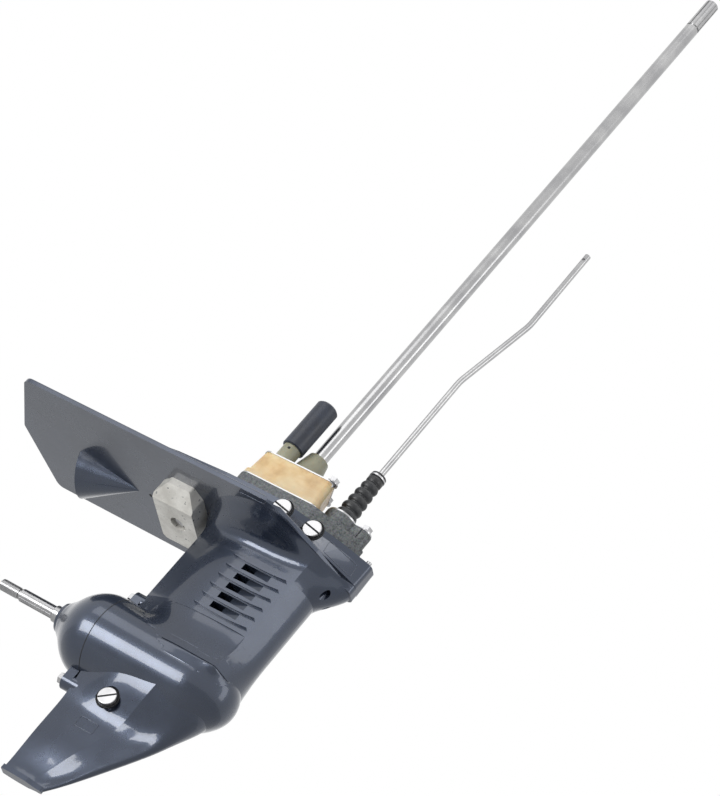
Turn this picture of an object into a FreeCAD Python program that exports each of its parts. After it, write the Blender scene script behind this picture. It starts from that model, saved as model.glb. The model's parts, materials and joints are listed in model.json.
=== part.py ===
"""Outboard lower unit with an extra long drive shaft, in millimetres.

X points to the bow, Y to port and Z up. The origin is where the drive shaft axis crosses the
joint face that meets the upper casing.
"""
import FreeCAD, Part
import math
import os

V = FreeCAD.Vector

# Fits and seats
static_fit = 0.05
running_fit = 0.08
free_gap = 0.4

# Gear axis, drive shaft and propeller shaft
gear_axis_drop = 175.5
axis_z = -gear_axis_drop
drive_shaft_radius = 7.0
drive_shaft_top = 742.2
drive_spline_length = 38.0
drive_spline_teeth = 10
drive_spline_depth = 0.9
drive_tip_chamfer = 1.2
relief_width = 2.0
spline_groove_share = 0.22

# Bevel gears, straight teeth about the crossing of the two axes
gear_module = 2.25
pinion_teeth = 13
gear_teeth = 27
tooth_face = 9.5
tooth_addendum = 1.55
tooth_dedendum = 2.3
tooth_share = 0.40
tooth_flank_angle = 20.0
tooth_sink = 0.4
gear_rim_thickness = 5.5
gear_web_face = 14.0
gear_hub_radius = 12.5
gear_hub_end = 46.0
pinion_bottom = 20.5
pinion_hub_radius = 10.6
pinion_hub_top = 37.5
pinion_seat_radius = 5.5
pinion_nut_height = 4.6
pinion_nut_width = 14.0

# Dog clutch and its shift
shift_travel = 6.0
clutch_ratio = 0.35
clutch_half_body = 5.5
clutch_radius = 13.6
clutch_ring_groove = 1.0
dog_count = 6
dog_angle = 28.0
dog_height = 2.7
dog_gap = 2.3
clutch_pin_radius = 2.1
plunger_radius = 3.2
plunger_tip = 49.8
plunger_tail = -6.5

# Propeller shaft stations along X, and radii
propeller_shaft_radius = 8.0
shaft_front = 44.0
shaft_collar_radius = 11.0
shaft_collar_width = 3.4
bearing_shaft_radius = 8.5
shoulder_radius = 7.7
shoulder_length = 9.0
propeller_spline_radius = 6.0
propeller_spline_length = 38.0
propeller_spline_teeth = 10
propeller_spline_depth = 0.8
neck_radius = 4.2
neck_length = 3.0
propeller_thread_radius = 5.0
propeller_thread_length = 21.0

# Bearings
front_bearing_outer_radius = 23.5
front_bearing_start = 30.0
front_bearing_length = 15.5
rear_bearing_outer_radius = 23.5
rear_bearing_start = 24.0
rear_bearing_length = 13.0
top_bearing_outer_radius = 16.0
top_bearing_length = 9.0
bearing_ring = 3.4
roller_count = 14
ball_count = 9

# Torpedo of the gearcase
seam_x = -38.0
torpedo_radius = 40.0
torpedo_front_radius = 36.5
torpedo_taper_end = 52.0
nose_tip_x = 94.5
gear_chamber_radius = 32.8
gear_chamber_end = 24.0
cam_chamber_radius = 17.0
cam_chamber_end = 68.0

# Leg, from the trailing edge to the leading edge
leg_front_x = 89.5
leg_crease_x = 74.0
leg_half_width = 27.0
leg_tail_half = 6.0
leg_low_z = -164.0
leg_flare_start = -57.0

# Anti-ventilation plate, deck and bow
plate_underside = -27.7
plate_thickness = 5.0
plate_half_width = 78.0
plate_aft_x = -259.0
plate_corner_x = -238.0
bow_x = 112.0
bow_depth = 32.0
deck_half_width = 41.5
deck_aft_x = -160.0
deck_wall = 7.0
shoulder_top = -6.0
exhaust_front_x = -108.0
case_bolt_reach = 96.0
case_bolt_spacing = 18.0
case_bolt_radius = 3.3
dowel_radius = 2.5
dowel_height = 6.0

# Skeg
skeg_bottom = -321.0
skeg_tail_x = -36.0
skeg_heel_x = 5.0
skeg_lip_height = 4.5
skeg_lip_half = 5.4

# Water intake on both sides
intake_fins = 6
intake_pitch = 11.2
intake_top_z = -60.5
intake_aft_x = 13.0
intake_length = 56.0
intake_fin_half = 1.7
intake_fin_proud = 2.2
intake_window_aft = 27.0
intake_window_length = 10.5
intake_recess_depth = 5.0
intake_gallery_half = 10.0

# Exhaust snout under the plate
snout_rear_x = -192.0
snout_apex_x = -128.0
snout_rear_y = 23.0
snout_apex_y = 12.0
snout_half_width = 27.0
snout_depth = 25.0
snout_rake = 9.0
snout_wall = 2.6

# Propeller shaft cap
cap_dome_length = 51.0
cap_face_radius = 15.0
spigot_radius = 33.5
spigot_length = 14.0
o_ring_radius = 1.3
seal_outer_radius = 13.5
seal_length = 12.0
cap_bolt_radius = 3.0
cap_ear_radius = 8.0
cap_ear_length = 9.0
top_ear_height = 46.0
bottom_ear_depth = 49.0

# Oil seal housing, bare casting on the deck
housing_height = 14.4
seat_depth = 1.0
boss_height = 30.0
boot_boss_radius = 16.0
plate_screw_x = 80.0
plate_screw_y = 3.0
seal_bore_radius = 12.0

# Water pump
gasket_thickness = 0.7
wear_plate_thickness = 1.2
pump_flange_height = 4.6
pump_body_top = 45.0
pump_skirt = 2.2
pump_cup_radius = 21.6
pump_cup_wall = 1.2
pump_cup_height = 20.0
pump_cup_offset = 1.2
top_plate_thickness = 1.3
hump_base_radius = 17.0
hump_top_radius = 10.0
hump_top = 74.0
outlet_x = -18.0
outlet_y = -16.5
outlet_radius = 8.8
outlet_top = 63.0
outlet_spigot_radius = 6.6
outlet_spigot_height = 12.0
tube_radius = 10.8
tube_bore_radius = 6.2
tube_length = 54.0
pump_bolt_radius = 3.0
hex_head_height = 4.2
hex_head_width = 9.0
washer_radius = 5.6
washer_thickness = 1.2
impeller_radius = 19.8
impeller_hub_radius = 11.5
impeller_height = 17.0
impeller_vanes = 6
vane_thickness = 3.0
key_length = 8.0

# Shift rod and its boot
rod_x = 57.0
rod_radius = 3.0
rod_jog_low = 212.0
rod_jog_high = 298.0
rod_jog_reach = 18.0
rod_top = 396.0
rod_bend_radius = 45.0
cam_half_width = 4.5
cam_half_height = 9.0
cam_back = 4.6
boot_plate_thickness = 1.6
boot_base_radius = 10.4
boot_top_radius = 7.6
boot_length = 55.0
boot_folds = 5
boot_fold_depth = 1.6
boot_flange_radius = 12.6

# Slotted plugs
plug_radius = 8.3
plug_pocket_radius = 10.4
plug_head_height = 4.0
plug_thread_radius = 4.0
plug_length = 13.0
plug_slot_width = 1.8
plug_slot_depth = 1.6

# Anode
anode_rear_x = -89.0
anode_front_x = -45.5
anode_half_width = 40.0
anode_depth = 18.0
anode_bolt_x = -66.0


def box(x0, x1, y0, y1, z0, z1):
    return Part.makeBox(x1 - x0, y1 - y0, z1 - z0, V(x0, y0, z0))


def cylinder_x(radius, x0, x1, y=0.0, z=axis_z):
    return Part.makeCylinder(radius, x1 - x0, V(x0, y, z), V(1, 0, 0))


def cylinder_y(radius, y0, y1, x, z):
    return Part.makeCylinder(radius, y1 - y0, V(x, y0, z), V(0, 1, 0))


def cylinder_z(radius, z0, z1, x=0.0, y=0.0):
    return Part.makeCylinder(radius, z1 - z0, V(x, y, z0), V(0, 0, 1))


def ring_x(outer, inner, x0, x1):
    return cylinder_x(outer, x0, x1).cut(cylinder_x(inner, x0 - 1, x1 + 1))


def ring_z(outer, inner, z0, z1, x=0.0, y=0.0):
    return cylinder_z(outer, z0, z1, x, y).cut(cylinder_z(inner, z0 - 1, z1 + 1, x, y))


def turned_x(profile):
    """A solid turned about the gear axis from (x, radius) points."""
    points = [V(x, 0, axis_z + r) for x, r in profile]
    face = Part.Face(Part.makePolygon(points + [points[0]]))
    return face.revolve(V(0, 0, axis_z), V(1, 0, 0), 360)


def turned_z(profile, x=0.0, y=0.0):
    """A solid turned about an upright axis from (radius, z) points."""
    points = [V(x + r, y, z) for r, z in profile]
    face = Part.Face(Part.makePolygon(points + [points[0]]))
    return face.revolve(V(x, y, 0), V(0, 0, 1), 360)


def hex_prism(width, height, base, direction):
    """A hexagon of that width across flats, standing on base along direction."""
    radius = width / math.sqrt(3)
    corners = [V(radius * math.cos(math.radians(60 * i)), radius * math.sin(math.radians(60 * i)), 0)
               for i in range(7)]
    prism = Part.Face(Part.makePolygon(corners)).extrude(V(0, 0, height))
    prism.Placement = FreeCAD.Placement(base, FreeCAD.Rotation(V(0, 0, 1), direction))
    return prism


def joined(shapes):
    return shapes[0].multiFuse(shapes[1:]).removeSplitter()


def turned_copies(shape, count, centre, direction):
    """Copies of a shape at even angles about an axis, the first one where the shape is."""
    copies = []
    for i in range(count):
        copy = shape.copy()
        copy.rotate(centre, direction, 360.0 * i / count)
        copies.append(copy)
    return copies


def rounded_outline(points, radii, z):
    """A closed wire through the points at height z, each corner rounded by its radius."""
    edges = []
    count = len(points)
    starts = []
    ends = []
    middles = []
    for i in range(count):
        here = V(points[i][0], points[i][1], z)
        before = V(points[i - 1][0], points[i - 1][1], z)
        after = V(points[(i + 1) % count][0], points[(i + 1) % count][1], z)
        to_before = (before - here).normalize()
        to_after = (after - here).normalize()
        half = math.acos(max(-1.0, min(1.0, to_before.dot(to_after)))) / 2
        reach = radii[i] / math.tan(half)
        bisector = (to_before + to_after).normalize()
        starts.append(here + to_before * reach)
        ends.append(here + to_after * reach)
        middles.append(here + bisector * (radii[i] / math.sin(half) - radii[i]))
    for i in range(count):
        edges.append(Part.Arc(starts[i], middles[i], ends[i]).toShape())
        edges.append(Part.LineSegment(ends[i], starts[(i + 1) % count]).toShape())
    return Part.Wire(edges)


def prism(wire, height):
    return Part.Face(wire).extrude(V(0, 0, height))


def smooth_edge(points, z, start=None, end=None):
    """A spline edge through (x, y) points at height z, with end directions where they are given."""
    spline = Part.BSplineCurve()
    path = [V(x, y, z) for x, y in points]
    if start is None:
        start = (points[1][0] - points[0][0], points[1][1] - points[0][1])
    if end is None:
        end = (points[-1][0] - points[-2][0], points[-1][1] - points[-2][1])
    spline.interpolate(Points=path, InitialTangent=V(start[0], start[1], 0),
                       FinalTangent=V(end[0], end[1], 0))
    return spline.toShape()


def foil_section(side, nose, z):
    """A closed section about the centre plane: side and nose are (x, half width) points.

    The side runs from the trailing corner to the crease, and the nose from there to the tip.
    """
    front = [side[-1]] + list(nose)
    starboard_side = [(x, -h) for x, h in side]
    starboard_nose = [(x, -h) for x, h in front]
    port_nose = [(x, h) for x, h in reversed(front)]
    port_side = [(x, h) for x, h in reversed(side)]
    tail = Part.LineSegment(V(side[0][0], side[0][1], z), V(side[0][0], -side[0][1], z)).toShape()
    edges = [
        tail,
        smooth_edge(starboard_side, z),
        smooth_edge(starboard_nose, z, end=(0, 1)),
        smooth_edge(port_nose, z, start=(0, 1)),
        smooth_edge(port_side, z),
    ]
    return Part.Wire(edges)


def blended(first, second, share):
    """Points part of the way from one outline to another."""
    return [(a[0] + (b[0] - a[0]) * share, a[1] + (b[1] - a[1]) * share)
            for a, b in zip(first, second)]


def leg_side():
    width = leg_half_width
    return [(seam_x, leg_tail_half), (seam_x + 22, width * 0.66), (seam_x + 46, width * 0.92),
            (leg_crease_x - 36, width), (leg_crease_x, width - 1)]


def leg_nose():
    return [(leg_front_x - 5, leg_half_width * 0.5), (leg_front_x, 0)]


def flare_side():
    width = plate_half_width
    return [(seam_x - 6, leg_tail_half + 8), (seam_x + 12, width * 0.60), (seam_x + 44, width * 0.88),
            (bow_x - 72, width * 0.90), (bow_x - 33, width * 0.44)]


def flare_nose():
    return [(bow_x - 14, plate_half_width * 0.20), (bow_x, 0)]


def gearcase_leg():
    """The upright leg, widening below into the torpedo."""
    side = leg_side()
    nose = leg_nose()
    spread = torpedo_radius - leg_half_width - 2.5
    sections = []
    for height, share in ((leg_low_z, 1.0), (leg_low_z + 9, 0.70), (leg_low_z + 18, 0.38), (leg_low_z + 28, 0.13),
                          (leg_low_z + 42, 0.0)):
        wide = [(x, h + spread * share) for x, h in side]
        blunt = [(x, h * (1 + 0.5 * share)) for x, h in nose]
        sections.append(foil_section(wide, blunt, height))
    low = Part.makeLoft(sections, True, False)
    top_wire = foil_section(side, nose, leg_low_z + 42)
    high = prism(top_wire, leg_flare_start - (leg_low_z + 42))
    return low.fuse(high)


def gearcase_flare():
    """The hollow curve from the leg out to the plate and the full bow."""
    top = plate_underside + 0.5
    rise = top - leg_flare_start
    steps = ((0.0, 0.0, 0.0), (0.22, 0.0, 0.24), (0.42, 0.02, 0.50), (0.58, 0.10, 0.68),
             (0.70, 0.28, 0.80), (0.85, 0.62, 0.92), (1.0, 1.0, 1.0))
    sections = []
    for up, side_share, bow_share in steps:
        side = blended(leg_side(), flare_side(), side_share)
        nose = blended(leg_nose(), flare_nose(), bow_share)
        nose[0] = (nose[0][0], max(nose[0][1], side[-1][1] * 0.5))
        sections.append(foil_section(side, nose, leg_flare_start + rise * up))
    flare = Part.makeLoft(sections, True, False)
    return flare.common(box(seam_x - 6, bow_x, -100, 100, -100, 0))


def plate_outline(z):
    width = plate_half_width
    half = [(plate_aft_x, 0), (plate_corner_x, width - 2), (bow_x - 76, width), (bow_x - 34, width * 0.46),
            (bow_x - 16, width * 0.21), (bow_x, 0)]
    points = half[:1] + [(x, -h) for x, h in half[1:-1]] + half[-1:] + [(x, h) for x, h in half[-2:0:-1]]
    radii = [6, 8, 26, 30, 30, 9, 30, 30, 26, 8]
    return rounded_outline(points, radii, z)


def closed_outline(half, z, rounding):
    """A symmetric outline: (x, half width) points from the tail to the bow, each with its radius."""
    points = [(x, -h) for x, h in half] + [(x, h) for x, h in reversed(half)]
    radii = list(rounding) + list(reversed(rounding))
    return rounded_outline(points, radii, z)


def deck_outline(z, inset=0.0):
    """The joint outline: narrow bow, straight middle and tapered tail."""
    width = deck_half_width - inset
    half = [(deck_aft_x + inset, width * 0.48), (deck_aft_x + 8 + inset, width * 0.62), (bow_x - 204, width * 0.88),
            (bow_x - 147, width), (bow_x - 89, width), (bow_x - 31, width * 0.53), (bow_x - inset, width * 0.17)]
    return closed_outline(half, z, [8, 12, 60, 60, 60, 40, 6])


def shoulder():
    """The sloped shoulder between the plate and the deck wall, widest where the plugs are."""
    width = plate_half_width
    half = [(deck_aft_x - 4, width * 0.27), (deck_aft_x + 4, width * 0.36), (bow_x - 204, width * 0.52),
            (bow_x - 140, width * 0.60), (bow_x - 76, width * 0.90), (bow_x - 31, width * 0.42),
            (bow_x, width * 0.09)]
    low_z = plate_underside + plate_thickness - 1.5
    low = closed_outline(half, low_z, [8, 12, 60, 60, 40, 40, 6])
    return Part.makeLoft([low, deck_outline(shoulder_top)], True, True)


def gearcase_top():
    """Plate, deck and bow."""
    plate = prism(plate_outline(plate_underside), plate_thickness)
    rim = [e for e in plate.Edges if abs(e.BoundBox.ZMin - e.BoundBox.ZMax) < 0.01
           and abs(e.BoundBox.ZMin - (plate_underside + plate_thickness)) < 0.01]
    plate = plate.makeFillet(1.6, rim)
    deck = prism(deck_outline(plate_underside + 1), -plate_underside - 1)
    bow_front = deck_outline(-bow_depth)
    bow = prism(bow_front, bow_depth).common(box(bow_x - 34, bow_x + 1, -60, 60, -bow_depth, 0))
    return [plate, deck, bow, shoulder()]


def torpedo():
    """Turned body from the seam to a rounded nose."""
    outline = [V(seam_x, 0, axis_z), V(seam_x, 0, axis_z + torpedo_radius)]
    taper = V(torpedo_taper_end, 0, axis_z + torpedo_front_radius)
    tip = V(nose_tip_x, 0, axis_z)
    spline = Part.BSplineCurve()
    reach = nose_tip_x - torpedo_taper_end
    shoulder_point = V(torpedo_taper_end + reach * 0.72, 0, axis_z + torpedo_front_radius * 0.66)
    spline.interpolate(Points=[taper, shoulder_point, tip], InitialTangent=V(reach, 0, -2.0),
                       FinalTangent=V(0, 0, -torpedo_front_radius))
    edges = [
        Part.LineSegment(outline[0], outline[1]).toShape(),
        Part.LineSegment(outline[1], taper).toShape(),
        spline.toShape(),
        Part.LineSegment(tip, outline[0]).toShape(),
    ]
    return Part.Face(Part.Wire(edges)).revolve(V(0, 0, axis_z), V(1, 0, 0), 360)


def skeg():
    """The fin below the torpedo, with a broad root fairing and a small foot along its lower edge."""
    drop = axis_z - skeg_bottom
    steps = ((0.10, 85.0, 30.0), (0.24, 79.0, 23.5), (0.34, 72.0, 15.0), (0.43, 65.5, 8.6), (0.54, 55.5, 6.6),
             (0.76, 33.0, 5.2), (1.0, skeg_heel_x, 3.6))
    sections = []
    for share, front, half in steps:
        length = front - skeg_tail_x
        side = [(skeg_tail_x, half * 0.45), (skeg_tail_x + length * 0.28, half * 0.9),
                (skeg_tail_x + length * 0.62, half)]
        nose = [(front - length * 0.10, half * 0.62), (front, 0)]
        sections.append(foil_section(side, nose, axis_z - drop * share))
    fin = Part.makeLoft(sections, True, False)
    length = skeg_heel_x - skeg_tail_x
    foot_side = [(skeg_tail_x, skeg_lip_half * 0.8), (skeg_tail_x + length * 0.3, skeg_lip_half),
                 (skeg_tail_x + length * 0.66, skeg_lip_half * 0.95)]
    foot_nose = [(skeg_heel_x - length * 0.08, skeg_lip_half * 0.5), (skeg_heel_x + 2, 0)]
    foot = prism(foil_section(foot_side, foot_nose, skeg_bottom), skeg_lip_height)
    return fin.fuse(foot)


def intake_window_z(index):
    """Middle height of the opening above fin number index plus one."""
    return intake_top_z - intake_pitch * (index + 0.5)


def intake_cuts(side):
    """Openings with sloping recesses ahead of them, between the fins on one side, -1 or 1."""
    cuts = []
    half = (intake_pitch - 2 * intake_fin_half - 1.2) / 2
    inner = side * intake_gallery_half
    depth = side * (leg_half_width - intake_recess_depth)
    outer = side * (leg_half_width + 1.5)
    x1 = intake_window_aft + intake_window_length
    end = intake_aft_x + intake_length - 7
    for i in range(intake_fins - 1):
        low = intake_window_z(i) - half
        outline = [V(intake_window_aft, outer, low), V(intake_window_aft, inner, low), V(x1, inner, low),
                   V(x1, depth, low), V(end, outer, low)]
        face = Part.Face(Part.makePolygon(outline + [outline[0]]))
        cuts.append(face.extrude(V(0, 0, 2 * half)))
    return cuts


def intake_fin(side, index):
    """One spindle shaped fin standing out of the pad."""
    middle_z = intake_top_z - intake_pitch * index
    x0 = intake_aft_x
    x1 = x0 + intake_length
    middle_x = (x0 + x1) / 2
    base = side * (leg_half_width - 6)
    top = Part.Arc(V(x0, base, middle_z), V(middle_x, base, middle_z + intake_fin_half), V(x1, base, middle_z))
    low = Part.Arc(V(x1, base, middle_z), V(middle_x, base, middle_z - intake_fin_half), V(x0, base, middle_z))
    face = Part.Face(Part.Wire([top.toShape(), low.toShape()]))
    return face.extrude(V(0, side * (intake_fin_proud + 6), 0))


def snout_section(x, half, depth, middle, rake):
    """Half oval below the plate, its lowest point set forward by the rake."""
    top = plate_underside + 1
    left = V(x, middle - half, top)
    low = V(x + rake, middle, top - 1 - depth)
    right = V(x, middle + half, top)
    return Part.Wire([Part.Arc(left, low, right).toShape(), Part.LineSegment(right, left).toShape()])


def snout():
    """The exhaust hood under the plate: a half cone that opens aft, and the space inside it."""
    outer = Part.makeLoft([
        snout_section(snout_rear_x, snout_half_width, snout_depth, snout_rear_y, snout_rake),
        snout_section(snout_apex_x, 1.5, 0.4, snout_apex_y, 0.2)], True, True)
    wall = snout_wall
    inner = Part.makeLoft([
        snout_section(snout_rear_x - 2, snout_half_width - wall, snout_depth - wall, snout_rear_y, snout_rake),
        snout_section(snout_apex_x - 2 * wall, 1.4, 0.1, snout_apex_y + 1, 0.1)], True, True)
    return outer, inner


def plug_places():
    """Centre, seat plane and outward end for each slotted plug: level, flushing and drain."""
    return {
        "oil_level_plug": (V(36, -54, -15.5), 54),
        "flushing_plug": (V(64, -40, -13.0), 40),
        "oil_drain_plug": (V(5, -15.5, axis_z - 51), 15.5),
    }


def plug_pocket(place):
    centre, _ = place
    pocket = cylinder_y(plug_pocket_radius, centre.y - 30, centre.y + static_fit, centre.x, centre.z)
    bore = cylinder_y(plug_thread_radius + static_fit, centre.y - 1, centre.y + plug_length, centre.x, centre.z)
    return pocket.fuse(bore)


def plug(place):
    """A slotted plug whose head stands in its pocket on a thin gasket."""
    centre, _ = place
    seat = centre.y - gasket_thickness
    head = cylinder_y(plug_radius, seat - plug_head_height, seat, centre.x, centre.z)
    edge = [e for e in head.Edges if abs(e.BoundBox.YMin - (seat - plug_head_height)) < 0.01
            and abs(e.BoundBox.YMax - (seat - plug_head_height)) < 0.01]
    head = head.makeFillet(0.7, edge)
    shank = cylinder_y(plug_thread_radius, seat - 1, centre.y + plug_length - 1, centre.x, centre.z)
    slot = box(centre.x - plug_radius - 1, centre.x + plug_radius + 1, seat - plug_head_height - 1,
               seat - plug_head_height + plug_slot_depth, centre.z - plug_slot_width / 2,
               centre.z + plug_slot_width / 2)
    slot.rotate(centre, V(0, 1, 0), 12 if centre.z > axis_z / 2 else -40)
    return head.fuse(shank).cut(slot)


def plug_gasket(place):
    centre, _ = place
    outer = cylinder_y(plug_radius - 0.4, centre.y - gasket_thickness, centre.y, centre.x, centre.z)
    return outer.cut(cylinder_y(plug_thread_radius + static_fit, centre.y - 5, centre.y + 1, centre.x, centre.z))


def rod_bore_radius():
    return rod_radius + 1.2


def case_cavities():
    """Everything that is bored or cored out of the gearcase."""
    cuts = []
    cuts.append(cylinder_x(spigot_radius + static_fit, seam_x - 1, seam_x + spigot_length + 0.5))
    cuts.append(cylinder_x(gear_chamber_radius, seam_x, gear_chamber_end))
    cuts.append(cylinder_x(front_bearing_outer_radius + static_fit, gear_chamber_end - 1, gear_hub_end))
    cuts.append(cylinder_x(cam_chamber_radius, gear_hub_end - 1, cam_chamber_end))
    cuts.append(cylinder_z(rod_bore_radius(), axis_z, 1, rod_x))
    cuts.append(cylinder_z(drive_shaft_radius + 2.5, axis_z + 20, 1))
    cuts.append(cylinder_z(bush_outer_radius() + static_fit, axis_z + 25, bush_top()))
    cuts.append(cylinder_z(pinion_pocket_radius(), axis_z + 20, bush_bottom()))
    cuts.append(cylinder_z(top_bearing_outer_radius + static_fit, -top_bearing_length - 5, 1))
    gallery_low = intake_window_z(intake_fins - 2) - 5
    cuts.append(box(intake_window_aft, intake_window_aft + intake_window_length, -intake_gallery_half - 1,
                    intake_gallery_half + 1, gallery_low, 1))
    for side in (-1, 1):
        cuts.extend(intake_cuts(side))
    cuts.append(prism(housing_outline(-seat_depth, free_gap), seat_depth + 1))
    pocket = prism(deck_outline(plate_underside + plate_thickness + 1, deck_wall), 40)
    cuts.append(pocket.common(box(deck_aft_x, exhaust_front_x, -60, 60, -40, 1)))
    throat_aft = deck_aft_x + deck_wall + 1
    cuts.append(box(throat_aft, throat_aft + 10, 10, 20, plate_underside - 2.5, plate_underside + plate_thickness + 2))
    for x in (case_bolt_reach, -case_bolt_reach):
        for y in (-case_bolt_spacing / 2, case_bolt_spacing / 2):
            cuts.append(cylinder_z(case_bolt_radius, -60, 1, x, y))
    for x, y in dowel_places():
        cuts.append(cylinder_z(dowel_radius + static_fit, -dowel_height - 1, 1, x, y))
    for x, y in pump_bolt_places() + [(plate_screw_x, plate_screw_y)]:
        cuts.append(cylinder_z(pump_bolt_radius + static_fit, -14, 1, x, y))
    for place in plug_places().values():
        cuts.append(plug_pocket(place))
    for height in (top_ear_height, -bottom_ear_depth):
        cuts.append(cylinder_x(cap_bolt_radius + static_fit, seam_x - 1, seam_x + 17, 0, axis_z + height))
    anode_hole = cylinder_z(cap_bolt_radius + static_fit, plate_underside - 1, plate_underside + 14, anode_bolt_x)
    cuts.append(anode_hole)
    return cuts


def bush_outer_radius():
    return drive_shaft_radius + 3.6


def bush_bottom():
    return axis_z + pinion_hub_top + 2.0


def bush_top():
    return bush_bottom() + 22.0


def pinion_pocket_radius():
    return gear_module * pinion_teeth / 2 + 3.4


def dowel_places():
    return [(bow_x - 8, 0.0), (bow_x - 160, 24.0)]


def gearcase():
    """The painted casting: torpedo, leg, flare, plate, deck, skeg and snout in one piece."""
    hood, passage = snout()
    bottom_ear = cylinder_x(cap_ear_radius, seam_x, seam_x + 20, 0, axis_z - bottom_ear_depth)
    top_ear = cylinder_x(cap_ear_radius, seam_x, seam_x + 16, 0, axis_z + top_ear_height)
    solid = torpedo()
    for body in [gearcase_leg(), gearcase_flare(), skeg()] + gearcase_top() + [hood, bottom_ear, top_ear]:
        solid = solid.fuse(body)
    for side in (-1, 1):
        for i in range(intake_fins):
            solid = solid.fuse(intake_fin(side, i))
    for cavity in case_cavities() + [passage]:
        solid = solid.cut(cavity)
    return solid


def cone_distance():
    return math.hypot(gear_module * pinion_teeth / 2, gear_module * gear_teeth / 2)


def bevel_teeth(teeth, mate_teeth, phase):
    """Straight bevel teeth about local +Z, with the cone's point at the origin."""
    angle = math.atan2(teeth, mate_teeth)
    along = V(math.sin(angle), 0, math.cos(angle))
    out = V(math.cos(angle), 0, -math.sin(angle))
    outer = cone_distance()
    inner_share = (outer - tooth_face) / outer
    pitch_half = math.pi * gear_module * tooth_share / 2
    lean = math.tan(math.radians(tooth_flank_angle))
    tip_half = pitch_half - tooth_addendum * lean
    root_half = pitch_half + tooth_dedendum * lean
    middle = along * outer
    tip = middle + out * tooth_addendum
    root = middle - out * tooth_dedendum
    corners = [root + V(0, -root_half, 0), tip + V(0, -tip_half, 0), tip + V(0, tip_half, 0),
               root + V(0, root_half, 0)]
    wires = []
    for share in (1.0, inner_share):
        points = [c * share for c in corners]
        wires.append(Part.makePolygon(points + [points[0]]))
    tooth = Part.makeLoft(wires, True, True)
    tooth.rotate(V(0, 0, 0), V(0, 0, 1), phase)
    return turned_copies(tooth, teeth, V(0, 0, 0), V(0, 0, 1))


def bevel_root(teeth, mate_teeth):
    """Radius and height of the root cone's outer and inner ends, with the teeth sunk a little."""
    angle = math.atan2(teeth, mate_teeth)
    depth = tooth_dedendum - tooth_sink
    outer = cone_distance()
    radius = outer * math.sin(angle) - depth * math.cos(angle)
    height = outer * math.cos(angle) + depth * math.sin(angle)
    share = (outer - tooth_face) / outer
    return (radius, height), (radius * share, height * share)


def turned_local(profile):
    points = [V(r, 0, z) for r, z in profile]
    face = Part.Face(Part.makePolygon(points + [points[0]]))
    return face.revolve(V(0, 0, 0), V(0, 0, 1), 360)


def dog_teeth(inner, outer, z0, z1, phase):
    """Square dogs on a ring about local Z."""
    spread = math.radians(dog_angle / 2)
    dogs = []
    ring = cylinder_z(outer, z0, z1).cut(cylinder_z(inner, z0 - 1, z1 + 1))
    reach = outer * 1.3
    wedge = Part.Face(Part.makePolygon([
        V(0, 0, z0 - 1), V(reach * math.cos(spread), -reach * math.sin(spread), z0 - 1),
        V(reach * math.cos(spread), reach * math.sin(spread), z0 - 1), V(0, 0, z0 - 1)]))
    wedge = wedge.extrude(V(0, 0, z1 - z0 + 2))
    dog = ring.common(wedge)
    dog.rotate(V(0, 0, 0), V(0, 0, 1), phase)
    dogs.extend(turned_copies(dog, dog_count, V(0, 0, 0), V(0, 0, 1)))
    return dogs


def gear_bore_radius():
    return propeller_shaft_radius + running_fit


def dog_inner_radius():
    return propeller_shaft_radius + 1.2


def output_gear(hub_end, phase):
    """A gear about local Z: teeth to the origin, dogs inside, hub behind."""
    (outer_r, outer_z), (inner_r, inner_z) = bevel_root(gear_teeth, pinion_teeth)
    back = outer_z + gear_rim_thickness
    body = turned_local([
        (gear_bore_radius(), gear_web_face), (inner_r - 1.5, gear_web_face), (inner_r, inner_z), (outer_r, outer_z),
        (outer_r + 0.3, back - 1.5), (outer_r - 1.2, back), (gear_hub_radius + 1.5, back),
        (gear_hub_radius, back + 1.5), (gear_hub_radius, hub_end), (gear_bore_radius(), hub_end)])
    dog_low = clutch_half_body + dog_height + dog_gap
    dogs = dog_teeth(dog_inner_radius(), clutch_radius, dog_low, gear_web_face + 0.5, 30)
    return joined([body] + bevel_teeth(gear_teeth, pinion_teeth, phase) + dogs)


def placed_on_axis(shape, direction):
    """Turns a local Z shape onto the gear axis, pointing along +X or -X, with local X up."""
    shape = shape.copy()
    if direction > 0:
        matrix = FreeCAD.Matrix(0, 0, 1, 0, 0, -1, 0, 0, 1, 0, 0, axis_z, 0, 0, 0, 1)
    else:
        matrix = FreeCAD.Matrix(0, 0, -1, 0, 0, 1, 0, 0, 1, 0, 0, axis_z, 0, 0, 0, 1)
    shape.Placement = FreeCAD.Placement(matrix)
    return shape


def forward_gear():
    gap_phase = 180.0 / gear_teeth
    return placed_on_axis(output_gear(gear_hub_end, gap_phase), 1)


def reverse_gear():
    return placed_on_axis(output_gear(rear_bearing_start + rear_bearing_length + 1, 0.0), -1)


def pinion_gear():
    (outer_r, outer_z), (inner_r, inner_z) = bevel_root(pinion_teeth, gear_teeth)
    body = turned_local([
        (pinion_seat_radius + static_fit, pinion_bottom), (inner_r - 0.6, pinion_bottom), (inner_r, inner_z),
        (outer_r, outer_z), (pinion_hub_radius, outer_z + 1.6), (pinion_hub_radius, pinion_hub_top),
        (pinion_seat_radius + static_fit, pinion_hub_top)])
    gear = joined([body] + bevel_teeth(pinion_teeth, gear_teeth, 0.0))
    gear.translate(V(0, 0, axis_z))
    return gear


def pinion_nut():
    low = axis_z + pinion_bottom - pinion_nut_height
    nut = hex_prism(pinion_nut_width, pinion_nut_height, V(0, 0, low), V(0, 0, 1))
    return nut.cut(cylinder_z(pinion_seat_radius + static_fit, low - 1, low + pinion_nut_height + 1))


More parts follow.
